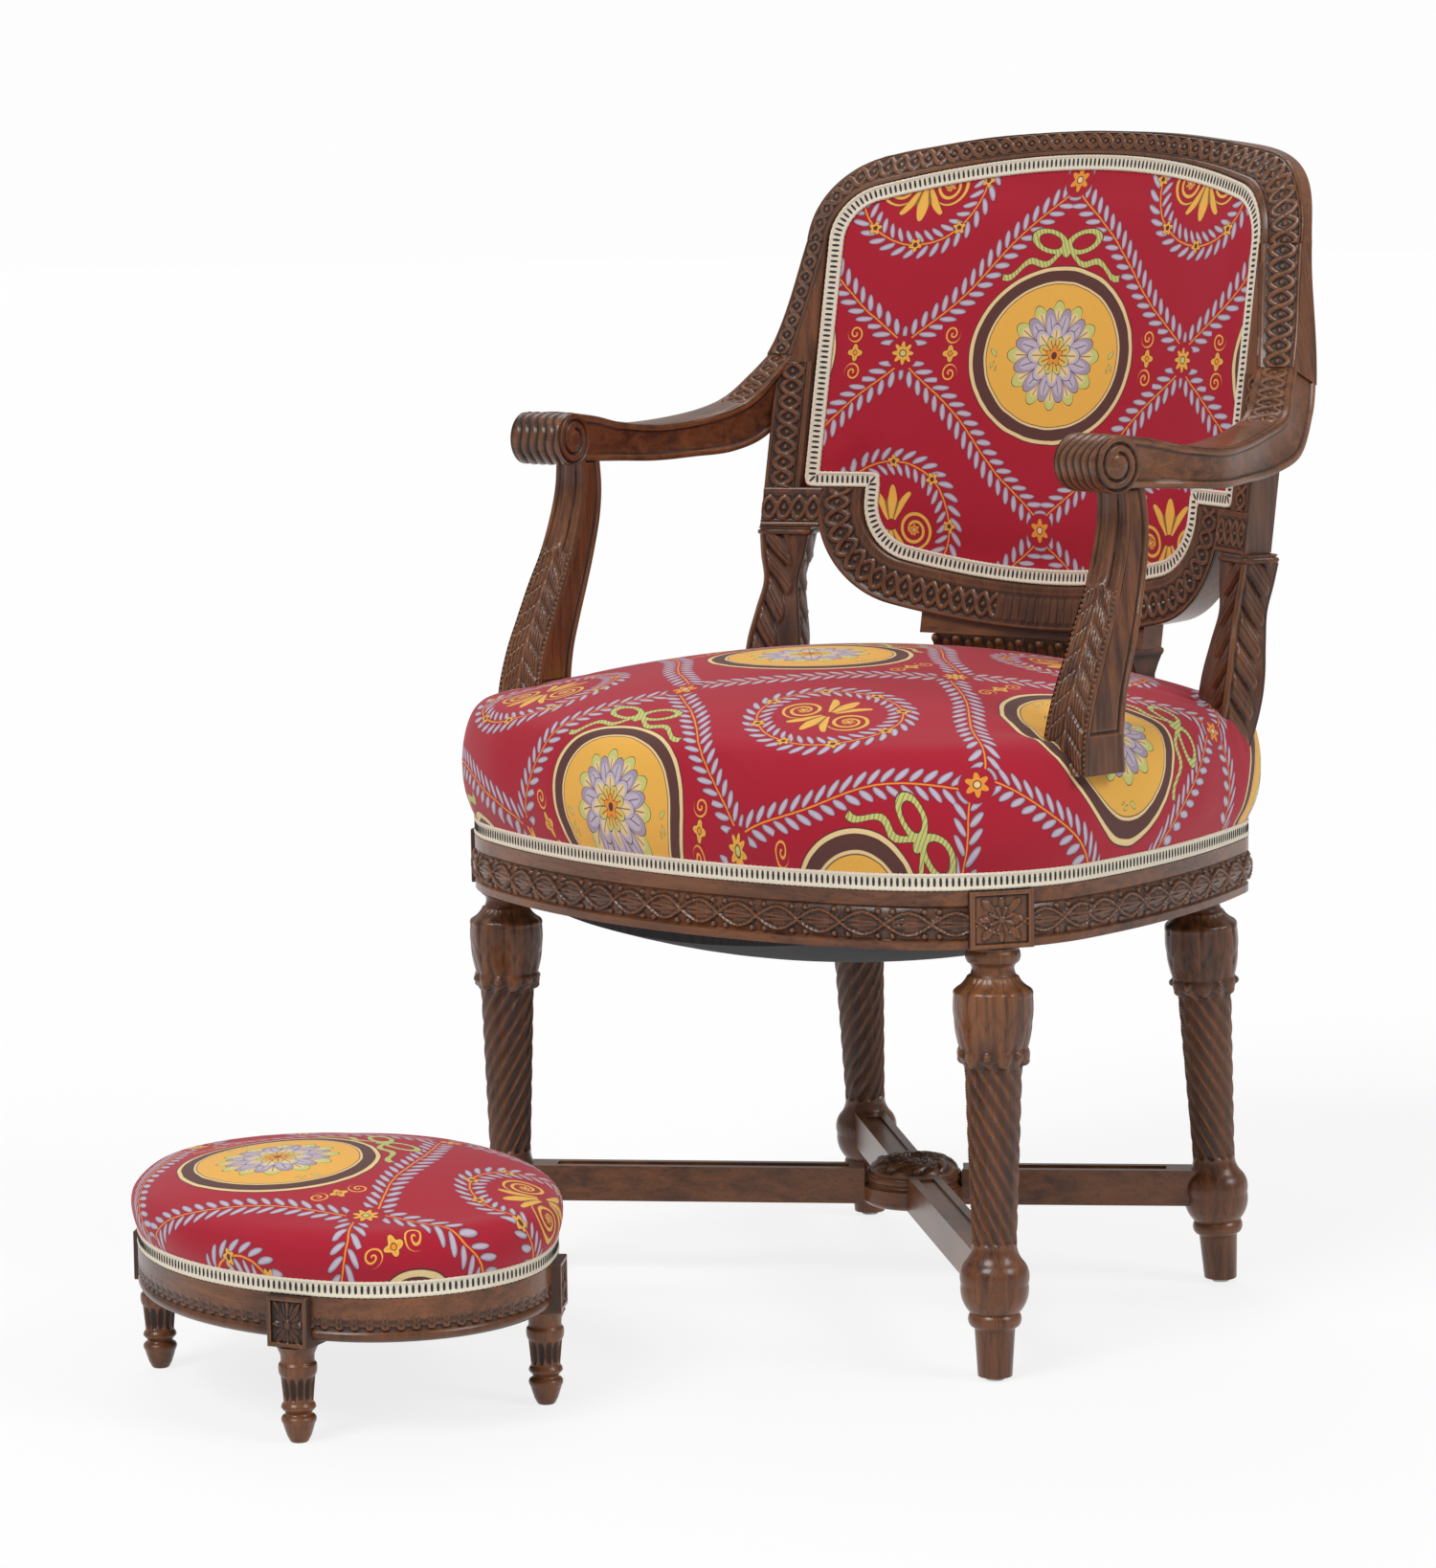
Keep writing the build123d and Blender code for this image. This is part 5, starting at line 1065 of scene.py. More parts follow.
def printed_cotton():
    """The print, drawn in sums on the cloth place."""
    cloth = Finish("printed_cotton")

    def ramp(distance, softness=0.5):
        return (0.5 - distance / softness).clipped()

    def angle_of(across, along):
        return across.maths("ARCTAN2", across, along)

    def length_of(across, along):
        return (across * across + along * along) ** 0.5

    def wave(value):
        return value.maths("COSINE", value)

    def off_whole(value):
        return value - value.maths("ROUND", value)

    state = {"paint": red}

    def paint(mask, pigment):
        state["paint"] = cloth.mix(mask, state["paint"], pigment)

    def outlined(distance, pigment, line):
        """A shape with a dark line round it."""
        paint(ramp(distance - line), ink)
        paint(ramp(distance), pigment)

    def leaves(along, across, pitch, reach, wide):
        """Distance to slanting leaves set in pairs along a stem."""
        aside = abs(across)
        shift = across.maths("SIGN", across) * (pitch * 0.2)
        slot = off_whole((along + shift - aside * 0.8) / pitch) * pitch
        share = ((aside - 1.6) / reach).clipped()
        bulge = (share * (1.0 - share)) ** 0.62 * (wide * 2.1)
        return (abs(slot) * 0.78 - bulge).most(1.2 - aside).most(aside - reach - 1.6)

    def sprig(along, across, pitch, reach, wide, mask):
        distance = leaves(along, across, pitch, reach, wide).most(mask)
        paint(ramp((abs(across) - 0.75).most(mask)), orange)
        outlined(distance, lavender, 0.45)
        paint(ramp(distance + 1.1), pale_lavender)

    def blossom(across, along, size, petals, pigment, eye):
        reach = length_of(across, along)
        edge = size * (0.78 + 0.22 * wave(angle_of(across, along) * petals))
        distance = reach - edge
        outlined(distance, pigment, 0.7)
        rays = abs(off_whole(angle_of(across, along) * (petals / 2 / math.pi))) * reach - 0.5
        paint(ramp(rays.most(distance + size * 0.3)) * 0.8, orange)
        paint(ramp(reach - size * 0.34), ink)
        paint(ramp(reach - size * 0.25), eye)

    place = cloth.node("ShaderNodeAttribute", {"attribute_name": "cloth"}, [], 1)
    wobble = (cloth.noise(place, 0.05, 1.0) - 0.5) * 1.6
    x, y = (cloth.node("ShaderNodeSeparateXYZ", {}, [place], index) + wobble for index in (0, 1))
    near_x = off_whole(x / repeat_wide) * repeat_wide
    near_y = off_whole(y / repeat_tall) * repeat_tall
    far_x = off_whole(x / repeat_wide + 0.5) * repeat_wide
    far_y = off_whole(y / repeat_tall + 0.5) * repeat_tall

    around = angle_of(near_x, near_y)
    rim = (length_of(near_x / oval_half_wide, near_y / oval_half_tall) - 1.0) * 82.0
    slope = abs(near_x) / repeat_wide + abs(near_y) / repeat_tall - 0.5
    threads = cloth.noise(place, 0.9, 1.0)
    weave = cloth.bump(threads, 0.16, 0.0004)

    def dyed():
        """The shader for what is painted so far, and a clean red ground to go on with."""
        faded = cloth.mix((threads - 0.35).clipped() * 0.35, state["paint"], colour(0.3, 0.004, 0.014))
        state["paint"] = red
        return cloth.shader(
            Base_Color=faded, Roughness=0.78, Normal=weave, Sheen_Weight=0.12, Specular_IOR_Level=0.25)

    def laid_over(printed, value, limit):
        """The print so far, with what is newly painted laid over it where a value is under its limit."""
        return cloth.either(value.maths("LESS_THAN", value, limit), printed, dyed())

    printed = dyed()

    # The net of leafy stems and its blossoms
    bend = wave(near_y * (2 * math.pi / repeat_tall) * 2.0) * 10.0
    net = slope * (repeat_wide * 0.69) + bend * wave(near_x * (2 * math.pi / repeat_wide)) * 0.6
    run = (abs(near_y) - abs(near_x) * (repeat_tall / repeat_wide)) * 0.72
    clear = 15.0 - length_of(far_x, near_y).least(length_of(near_x, far_y))
    sprig(run, net, 11.2, 12.6, 3.1, clear)
    blossom(far_x, near_y, 10.5, 8.0, mustard, lime)
    blossom(near_x, far_y, 10.5, 6.0, orange, cream)
    printed = laid_over(printed, abs(net), 16.0)

    # Small gold flowers between the oval and the net
    spray_x, spray_y = abs(near_x) - 112.0, near_y
    blossom(spray_x, spray_y, 7.5, 4.0, mustard, orange)
    curl_x, curl_y = spray_x + 1.0, abs(spray_y) - 17.0
    curl_reach = length_of(curl_x, curl_y)
    curl = off_whole(curl_reach / 5.0 - angle_of(curl_x, curl_y) / (2 * math.pi))
    curl = (abs(curl) * 5.0 - 0.7).most(curl_reach - 8.0)
    paint(ramp(curl), mustard)
    printed = laid_over(printed, abs(spray_x).most(abs(spray_y) - 16.0), 10.5)

    # A bow of ribbon over each oval
    loop_x, loop_y = abs(near_x) - 19.0, near_y - 94.0 - abs(near_x) * 0.18
    loop = abs(((loop_x / 17.0) ** 2.0 + (loop_y / 8.5) ** 2.0) ** 0.5 - 1.0) * 10.0 - 2.1
    tail_line = near_y - 88.0 + abs(near_x) * 0.3 - wave(abs(near_x) * 0.16) * 4.0
    tail = (abs(tail_line) - 2.6).most(abs(near_x) - 66.0)
    ribbon = loop.least(tail).least(length_of(near_x, near_y - 88.0) - 4.2)
    hatch = ramp(abs(off_whole(near_x / 4.2 + near_y / 9.0)) * 4.2 - 0.5) * 0.6
    outlined(ribbon, cloth.mix(hatch, lime, umber), 0.7)
    printed = laid_over(printed, ribbon, 0.9)

    # Framed ovals with a many-petalled bloom
    for grow, pigment in (
            (1.0, ink), (0.0, cream), (-3.4, ink), (-4.2, umber), (-13.6, cream), (-15.6, ink), (-16.3, mustard)):
        paint(ramp(rim - grow), pigment)
    reach = length_of(near_x, near_y * 1.1)
    for size, petals, turn, first, second in (
            (54.0, 12.0, 0.0, lime, cream), (47.0, 12.0, 0.26, lavender, pale_lavender),
            (31.0, 8.0, 0.0, pale_lavender, cream), (19.0, 8.0, 0.39, lime, mustard)):
        lobe = abs(off_whole((around + turn) * (petals / 2 / math.pi)))
        edge = size * (1.0 - lobe * lobe * 1.5) - size * 0.05
        distance = reach - edge
        fold = (lobe * 2.0) ** 3.0
        outlined(distance, first, 0.8)
        paint(ramp(distance + size * 0.13) * (1.0 - fold), second)
        vein = lobe * reach * (2 * math.pi / petals) - 0.45
        paint(ramp(vein.most(distance + size * 0.16)) * 0.85, ink)
        crease = abs(lobe - 0.5) * reach * (2 * math.pi / petals) - 0.5
        paint(ramp(crease.most(distance)) * 0.9, ink)
    blossom(near_x, near_y, 9.0, 5.0, orange, umber)
    twig = leaves(abs(near_x), near_y + wave(near_x * 0.09) * 5.0, 9.0, 8.0, 1.9).most(64.0 - reach).most(rim + 20.0)
    outlined(twig, lime, 0.4)
    printed = laid_over(printed, rim, 1.6)

    # Wreaths in the cells between
    ring = length_of(far_x, far_y * 1.08)
    turn = angle_of(far_x, far_y)
    from_ring = ring - wreath_radius
    leaf_pitch = wreath_radius * 2 * math.pi / 34
    sprig(turn * wreath_radius, from_ring, leaf_pitch, 11.6, 2.9, abs(from_ring) - 16.0)
    step = 2 * math.pi / 8
    blossom(off_whole(turn / step) * step * wreath_radius, from_ring, 6.4, 5.0, mustard, umber)
    printed = laid_over(printed, abs(from_ring), 14.5)

    # Gold scrolls and fans in the wreaths
    side_x, side_y = abs(far_x) - 24.0, far_y + 4.0
    coil_reach = length_of(side_x, side_y)
    coil = off_whole(coil_reach / 7.0 - angle_of(side_x, side_y) / (2 * math.pi))
    scroll = (abs(coil) * 7.0 - 1.0 - coil_reach * 0.035).most(coil_reach - 17.5).most(3.0 - coil_reach)
    outlined(scroll, mustard, 0.5)
    blossom(side_x, side_y, 5.4, 6.0, orange, cream)
    fan_y = abs(far_y) + 2.0
    fan_turn, fan_reach = angle_of(far_x, fan_y), length_of(far_x, fan_y)
    fan = (fan_reach - 30.0 - wave(fan_turn * 11.0) * 7.0).most((abs(fan_turn) - 0.62) * 30.0).most(7.0 - fan_reach)
    outlined(fan, mustard, 0.7)
    spine = abs(off_whole(fan_turn * 11.0 / 2 / math.pi + 0.5)) * 4.0 - 0.5
    paint(ramp(spine.most(fan)) * 0.8, umber)
    printed = laid_over(printed, ring, 45.5)

    # Light that has already bounced off something sees the mean colour
    mean = cloth.node("ShaderNodeBsdfDiffuse", {}, {"Color": colour(0.41, 0.06, 0.045)})
    return cloth.shown(cloth.either(cloth.ray("Is Diffuse Ray"), printed, mean))


cotton = printed_cotton()


def give_cloth(mesh, place):
    """Store the cloth place of each point, in millimetres."""
    store = mesh.attributes.new("cloth", "FLOAT_VECTOR", "POINT")
    flat = np.zeros((len(mesh.vertices), 3), np.float32)
    flat[:, :2] = place
    store.data.foreach_set("vector", flat.ravel())


def points_of(mesh):
    """Points of a mesh in millimetres of the chair's own frame."""
    flat = np.zeros(len(mesh.vertices) * 3)
    mesh.vertices.foreach_get("co", flat)
    placed = flat.reshape(-1, 3) * 1000
    placed[:, 1] -= shift_y * 1000
    return placed


cloth_frames, cover_step = 20, 5.0


def puffed(name, mesh, voxel, pressure, stiffness, cap, held):
    """The mesh swollen by air like a stuffed cover, each point moving no further than the cap."""
    thing = bpy.data.objects.new(name + "_form", mesh)
    bpy.context.scene.collection.objects.link(thing)
    remesh = thing.modifiers.new("remesh", "REMESH")
    remesh.mode, remesh.voxel_size = "VOXEL", voxel
    shaped = bpy.data.meshes.new_from_object(thing.evaluated_get(bpy.context.evaluated_depsgraph_get()))
    thing.modifiers.clear()
    thing.data = shaped
    start = points_of(shaped)
    loose = 1 - np.clip(held(start), 0, 1)
    group = thing.vertex_groups.new(name="held")
    for index in np.nonzero(loose < 0.999)[0]:
        group.add([int(index)], float(1 - loose[index]), "REPLACE")
    cloth = thing.modifiers.new("cloth", "CLOTH")
    settings = cloth.settings
    settings.quality, settings.mass = 5, 0.3
    settings.tension_stiffness = settings.compression_stiffness = stiffness
    settings.shear_stiffness, settings.bending_stiffness = stiffness / 2, 0.6
    settings.use_pressure = True
    settings.uniform_pressure_force = pressure
    settings.vertex_group_mass = "held"
    settings.effector_weights.gravity = 0
    cloth.collision_settings.use_collision = False
    for step in range(cloth_frames):
        bpy.context.scene.frame_set(step + 1)
    swollen = bpy.data.meshes.new_from_object(thing.evaluated_get(bpy.context.evaluated_depsgraph_get()))
    moved = points_of(swollen) - start
    bpy.context.scene.frame_set(1)
    length = np.linalg.norm(moved, axis=1)[:, None]
    moved *= (np.minimum(length, cap) / np.maximum(length, 1e-6)) * loose[:, None]
    start = start + moved
    thing.modifiers.clear()
    finished = thing.data
    bpy.data.objects.remove(thing)
    return finished, start


def eased(mesh, points, rounds):
    """Points smoothed along the mesh edges, keeping the size."""
    edges = np.zeros(len(mesh.edges) * 2, np.int64)
    mesh.edges.foreach_get("vertices", edges)
    edges = edges.reshape(-1, 2)
    count = np.bincount(edges.ravel(), minlength=len(points))[:, None]
    for share in (0.5, -0.52) * rounds:
        total = np.zeros_like(points)
        np.add.at(total, edges[:, 0], points[edges[:, 1]])
        np.add.at(total, edges[:, 1], points[edges[:, 0]])
        points = points + (total / count - points) * share
    return points


def laid_flat(points, crown_z, crown_radius):
    """A cover laid flat round its middle: straight out over the top, then down the sides."""
    reach = np.linalg.norm(points[:, :2], axis=1)
    dome = crown_z - crown_radius + np.sqrt(crown_radius ** 2 - np.minimum(reach, 400) ** 2)
    run = reach * 1.01 + np.clip(dome - points[:, 2], 0, None) * 0.93
    return points[:, :2] / np.maximum(reach, 1)[:, None] * run[:, None]


def set_points(mesh, points):
    mesh.vertices.foreach_set("co", in_place(points).ravel())
    mesh.update()
    mesh.shade_smooth()


def dome_mesh(name, plan, middle, foot_profile, crown_z, crown_radius, low_z):
    """A closed cushion: its sides from a profile of outward reach and height, its top a shallow dome."""
    points, out, _ = walk(plan, cover_step)
    middle = np.array(middle)

    def dome_z(place):
        return crown_z - crown_radius + np.sqrt(crown_radius ** 2 - ((place - middle) ** 2).sum(-1))

    rings = [np.concatenate([middle + (points - middle) * share, np.full((len(points), 1), low_z)], 1)
             for share in (0.04, 0.3, 0.6, 0.85)]
    for reach, level in foot_profile:
        rings.append(np.concatenate([points + out * reach, np.full((len(points), 1), level)], 1))
    edge_reach, edge_level = foot_profile[-1]
    edge = points + out * edge_reach
    for share in np.linspace(0.97, 0.02, 26):
        place = middle + (edge - middle) * share
        level = dome_z(place) - (dome_z(edge) - edge_level) * share ** 8
        rings.append(np.concatenate([place, level[:, None]], 1))
    return tube_mesh(name, np.array(rings))


# The seat cushion is stuffing over springs, its cover pulled down and tacked to the rails. It bulges
# over the braid, turns in softly at the top and rises to a low crown. Pulls run in to the posts.

seat_middle = np.array([0.0, 4.0])
seat_low_z, seat_crown_z, seat_crown_radius = 386.6, 539.0, 1100.0
seat_sides = [(-2.8, 386.6), (-2.6, 391), (-2.2, 396), (-1.2, 400.0), (1.4, 404.4), (4.6, 412), (7.8, 422),
              (9.6, 435), (9.8, 449), (8.4, 463), (5.6, 475), (1.6, 485), (-4.0, 492.5), (-11.0, 497.0)]
seat_voxel, seat_pressure, seat_stiffness, seat_swell = 0.005, 3.0, 30, 9
seat_print_shift = (18.0, 40.0)
post_spots = [(303, -78, 26), (-303, -78, 26), (252, 166, 24), (-252, 166, 24)]


def seat_held(points):
    return np.maximum(smooth(412 - points[:, 2], 0, 9), smooth(points[:, 2] - 500, -30, 6) * 0.55)


form = dome_mesh("seat_cover", seat_plan, seat_middle, seat_sides, seat_crown_z, seat_crown_radius, seat_low_z)
form, points = puffed("seat_cover", form, seat_voxel, seat_pressure, seat_stiffness, seat_swell, seat_held)
points = eased(form, points, 4)
for x, y, wide in post_spots:
    from_x, from_y = points[:, 0] - x, points[:, 1] - y
    away = np.clip(np.hypot(from_x, from_y) - wide, 0, None)
    pulls = 1.5 * np.exp(-away / 34) * np.sin(np.arctan2(from_y, from_x) * 9 + x)
    points[:, 2] -= (4.5 * np.exp(-away / 16) - pulls) * smooth(points[:, 2], 440, 470)
side_wave = smooth(points[:, 2], 404, 416) * smooth(500 - points[:, 2], 0, 30)
around = np.arctan2(points[:, 1] - seat_middle[1], points[:, 0])
swell = side_wave * (1.1 * np.sin(around * 11 + 0.7) + 0.7 * np.sin(around * 23 + 2.0))
points[:, :2] += swell[:, None] * unit(points[:, :2] - seat_middle)
set_points(form, points)
give_cloth(form, laid_flat(points - (*seat_middle, 0), seat_crown_z, seat_crown_radius) + seat_print_shift)
seat = new_piece("seat_cover", form, cotton, "chair")
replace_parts(seat, "seat_cushion")


# The back pad is thin stuffing in the opening of the frame, under the same cotton. It is dished
# across like the frame and crowned down its height. Shallow folds run from its lower corners.

pad_middle_z = (opening_low_z + crest_joint_z + opening_corner + opening_bow) / 2
pad_face, pad_rear, pad_edge, pad_crown, pad_half_wide, pad_half_tall = 0.8, 12.0, 14.2, 12.5, 240, 184
fold_x, fold_z = 196, 660
back_centre = np.array([0.0, 775.0])
pad_shares = (
    1.0, 0.992, 0.98, 0.965, 0.95, 0.93, 0.905, 0.88, 0.85, 0.82, 0.78, 0.74, 0.69, 0.64, 0.58, 0.52, 0.46, 0.4,
    0.34, 0.28, 0.22, 0.16, 0.1, 0.05, 0.015)
outside_shares = (0.04, 0.2, 0.4, 0.6, 0.8, 0.92, 1.0)
outside_overlap, outside_near, outside_far, outside_fullness = 7.4, 20.2, 21.6, 2.0


def opening_outline(margin, step):
    """The edge of the opening seen from the front, drawn in by a margin, in even steps."""
    crown, foot = (
        [(x, y, radius - margin, first, last) for x, y, radius, first, last in arcs]
        for arcs in (upper_half(crown_inner, 0), notch_inner))
    inner, narrow, level = opening_half - margin, notch_half - margin, shoulder_z + margin
    steps = np.array([(-inner, crest_joint_z), (-inner, level), (-narrow, level), (-narrow, notch_spring_z)])
    line = np.concatenate([
        along_arcs(crown, 60, crest_joint_z), steps, along_arcs(foot, 50, notch_spring_z), steps[::-1] * (-1, 1)])
    keep = np.concatenate([[True], np.linalg.norm(np.diff(line, axis=0), axis=1) > 1e-6])
    line = line[keep]
    if np.linalg.norm(line[-1] - line[0]) < 1e-6:
        line = line[:-1]
    loop = np.concatenate([line, line[:1]])
    run = run_along(loop)
    count = round(run[-1] / step)
    even = np.arange(count) * run[-1] / count
    return np.stack([np.interp(even, run, loop[:, 0]), np.interp(even, run, loop[:, 1])], 1), even


def pad_front(x, z, edge):
    """How far the cover stands before the face of the frame, from the distance to its edge."""
    crown = pad_crown * (knob(x, pad_half_wide) * knob(z - pad_middle_z, pad_half_tall)) ** 1.1
    pulled = np.sin(x * 0.085 + z * 0.03) * 0.35 * smooth(30 - edge, 0, 30)
    for side in (-1, 1):
        away = np.hypot(x - side * fold_x, z - fold_z)
        angle = np.arctan2(z - fold_z, x - side * fold_x)
        pulled = pulled + 1.3 * np.exp(-away / 48) * np.sin(angle * 8 * side + 1) * smooth(edge, 0, 8)
    inside = edge - pad_edge
    return crown * smooth(inside, -3, 36) ** 0.75 + pulled * smooth(inside, 0, 10) - 0.6 * smooth(-inside, -1, 3)


edge_line, _ = opening_outline(1.0, cover_step)
pad_rings = np.array([back_centre + (edge_line - back_centre) * share for share in pad_shares])
gap = np.linalg.norm(pad_rings[:, :, None] - edge_line[None, None, ::3], axis=-1).min(-1)
x, z = pad_rings[..., 0], pad_rings[..., 1]
front = np.stack([x, back_y(x, z) - pad_face - pad_front(x, z, gap), z], -1)
rear = np.stack([x, back_y(x, z) + pad_rear, z], -1)
pad_mesh = tube_mesh("back_cover", np.concatenate([front[::-1], rear[::2]]), crease=180)
place = points_of(pad_mesh)
give_cloth(pad_mesh, np.stack([place[:, 0] * 1.03 + 4.0, (place[:, 2] - 770.0) * 1.01], 1))
back = new_piece("back_cover", pad_mesh, cotton, "chair")
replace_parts(back, "back_pad")

outer_line, _ = opening_outline(-outside_overlap, cover_step)
rings = np.array([back_centre + (outer_line - back_centre) * share for share in outside_shares])
x, z = rings[..., 0], rings[..., 1]
fullness = outside_fullness * knob(x, 247) * knob(z - pad_middle_z, 192)
near = np.stack([x, back_y(x, z) + outside_near, z], -1)
far = np.stack([x, back_y(x, z) + outside_far + fullness, z], -1)
outer_mesh = tube_mesh("outside_cover", np.concatenate([near, far[::-1]]), crease=60)
place = points_of(outer_mesh)
give_cloth(outer_mesh, np.stack([-place[:, 0] * 1.03 + 120.0, place[:, 2] - 700.0], 1))
outside = new_piece("outside_cover", outer_mesh, cotton, "chair")
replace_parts(outside, "back_outside_cover")


# The braid over the tacks is a cream gimp with black bars between two corded edges. It goes round
# the seat above the rails, round the opening of the back, and round the footstool.

braid_step, bar_pitch, bar_length_share, bar_width, bar_height = 1.17, 4.7, 0.52, 2.3, 1.2
cord_pitch = 2.35
tape_spread = np.array([0, 0.25, 0.5, 0.56, 0.62, 0.72, 0.82, 0.93, 0.985, 1.0])
tape_lift = np.array([0.85, 0.85, 0.85, 0.95, 1.2, 1.7, 1.8, 1.5, 0.9, 0.1])


def yarn(name, dark, light, roughness, gloss):
    """Spun cotton, with its fine threads as noise."""
    spun = Finish(name)
    threads = spun.noise(spun.place(), 900.0, 2.0)
    return spun.surface(
        Base_Color=spun.mix(threads, dark, light), Roughness=roughness, Normal=spun.bump(threads, 0.5, 0.0003),
        Specular_IOR_Level=gloss)


cream_braid = yarn("gimp_braid", colour(0.52, 0.45, 0.34), colour(0.82, 0.76, 0.64), 0.85, 0.2)
black_bars = yarn("gimp_bars", colour(0.012, 0.012, 0.014), colour(0.05, 0.048, 0.05), 0.8, 0.25)


def repeated(name, points, outward, runs, pitch, shape, finish):
    """One small shape set along a closed line by a node group, its x along the line and z outward."""
    count = round(runs * 1000 / pitch)
    line = bpy.data.meshes.new(name + "_line")
    size = len(points)
    line.from_pydata(points.tolist(), [(i, (i + 1) % size) for i in range(size)], [])
    store = line.attributes.new("outward", "FLOAT_VECTOR", "POINT")
    store.data.foreach_set("vector", np.asarray(outward, np.float32).ravel())
    holder = bpy.data.objects.new(name + "_line", line)
    bpy.context.scene.collection.objects.link(holder)
    stamp = bpy.data.objects.new(name + "_stamp", shape)
    group = bpy.data.node_groups.new(name + "_row", "GeometryNodeTree")
    group.interface.new_socket("Geometry", in_out="INPUT", socket_type="NodeSocketGeometry")
    number = group.interface.new_socket("Count", in_out="INPUT", socket_type="NodeSocketInt")
    group.interface.new_socket("Geometry", in_out="OUTPUT", socket_type="NodeSocketGeometry")
    enter, leave = group.nodes.new("NodeGroupInput"), group.nodes.new("NodeGroupOutput")
    curve, even = group.nodes.new("GeometryNodeMeshToCurve"), group.nodes.new("GeometryNodeResampleCurve")
    along, out = group.nodes.new("GeometryNodeInputTangent"), group.nodes.new("GeometryNodeInputNamedAttribute")
    turned = group.nodes.new("FunctionNodeAxesToRotation")
    place = group.nodes.new("GeometryNodeInstanceOnPoints")
    info = group.nodes.new("GeometryNodeObjectInfo")
    real, dress = group.nodes.new("GeometryNodeRealizeInstances"), group.nodes.new("GeometryNodeSetMaterial")
    out.data_type = "FLOAT_VECTOR"
    out.inputs["Name"].default_value = "outward"
    turned.primary_axis, turned.secondary_axis = "Z", "X"
    info.inputs["Object"].default_value = stamp
    dress.inputs["Material"].default_value = finish
    for start, end in (
            (enter.outputs["Geometry"], curve.inputs["Mesh"]), (curve.outputs["Curve"], even.inputs["Curve"]),
            (enter.outputs["Count"], even.inputs["Count"]), (even.outputs["Curve"], place.inputs["Points"]),
            (out.outputs["Attribute"], turned.inputs["Primary Axis"]),
            (along.outputs["Tangent"], turned.inputs["Secondary Axis"]),
            (turned.outputs["Rotation"], place.inputs["Rotation"]), (info.outputs["Geometry"], place.inputs["Instance"]),
            (place.outputs["Instances"], real.inputs["Geometry"]), (real.outputs["Geometry"], dress.inputs["Geometry"]),
            (dress.outputs["Geometry"], leave.inputs["Geometry"])):
        group.links.new(start, end)
    modifier = holder.modifiers.new("row", "NODES")
    modifier.node_group = group
    modifier[number.identifier] = count
    bpy.context.view_layer.update()
    made = bpy.data.meshes.new_from_object(holder.evaluated_get(bpy.context.evaluated_depsgraph_get()))
    made.name = name
    holder.modifiers.clear()
    bpy.data.objects.remove(holder)
    bpy.data.objects.remove(stamp)
    return made


def small_bar(length, width, height):
    """A bar with rounded ends and edges, x across it and y along it, rising in z."""
    ball = bmesh.new()
    bmesh.ops.create_uvsphere(ball, u_segments=8, v_segments=5, radius=0.5)
    for point in ball.verts:
        stretch = math.copysign(abs(point.co.y * 2) ** 0.35, point.co.y) / 2
        point.co = Vector((point.co.x * width, stretch * length, point.co.z * height)) / 1000
    shape = bpy.data.meshes.new("bar")
    ball.to_mesh(shape)
    ball.free()
    return shape


def braid_band(name, base, across, outward, runs, width, node, body):
    """The braid along a closed line: a cream tape with corded edges, and black bars let into it."""
    half = width / 2
    spread = np.concatenate([-tape_spread[:0:-1], tape_spread])
    lift = np.concatenate([tape_lift[:0:-1], tape_lift])
    ripple = 0.22 * np.sin(2 * math.pi * runs / cord_pitch)[:, None]
    ripple = ripple * np.clip(np.abs(spread) - 0.6, 0, 0.3)[None, :] / 0.3
    picot = 0.35 * np.clip(np.sin(2 * math.pi * runs / bar_pitch), 0, 1)[:, None] * (np.abs(spread) > 0.9)[None, :]
    side = np.sign(spread)[None, :] * picot
    tape = (
        base[:, None] + across[:, None] * (spread[None, :] * half + side)[..., None]
        + outward[:, None] * (lift[None, :] + ripple)[..., None])
    under = np.stack([base + across * half * share + outward * 0.02 for share in (0.98, -0.98)], 1)
    mesh = tube_mesh(name, np.concatenate([tape, under], 1), closed=True, crease=70)
    piece = new_piece(name, mesh, cream_braid, body)
    length = np.linalg.norm(np.roll(base, -1, 0) - base, axis=1).sum() / 1000
    bars = repeated(
        name + "_bars", in_place(base + outward * 0.9), outward, length, bar_pitch,
        small_bar(width * bar_length_share, bar_width, bar_height), black_bars)
    new_piece(name + "_bars", bars, black_bars, body)
    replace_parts(piece, node)


def braid_line(plan, inset, level):
    """The line of the braid round a cushion, its outward directions and the length run so far."""
    points, out, runs = walk(plan, braid_step)
    line = np.concatenate([points - out * inset, np.full((len(points), 1), level)], 1)
    return line, np.pad(out, ((0, 0), (0, 1))), runs


line, outward, runs = braid_line(seat_plan, 1.4, 393.2)
braid_band("seat_braid", line, np.tile(upward * 1.0, (len(line), 1)), outward, runs, 13.4, "seat_gimp", "chair")

middle_line, middle_runs = opening_outline(7.2, braid_step)
x, z = middle_line.T
face = np.stack([x, back_y(x, z) - 1.0, z], 1)
forward_face = unit(np.stack([-x / np.sqrt(dish_radius ** 2 - x ** 2), 0 * x - 1.0, 0 * x + back_rake], 1))
along = unit(np.roll(face, -1, 0) - np.roll(face, 1, 0))
sideways = unit(np.cross(forward_face, along))
for _ in range(6):
    sideways = unit(sideways + np.roll(sideways, 1, 0) + np.roll(sideways, -1, 0))
braid_band("back_braid", face, sideways, forward_face, middle_runs, 13.2, "back_gimp", "chair")


# The footstool is a small oval seat of the same make: walnut rails with a leaf band, carved blocks
# over turned legs, a low stuffed top in the same cotton, and the same braid.

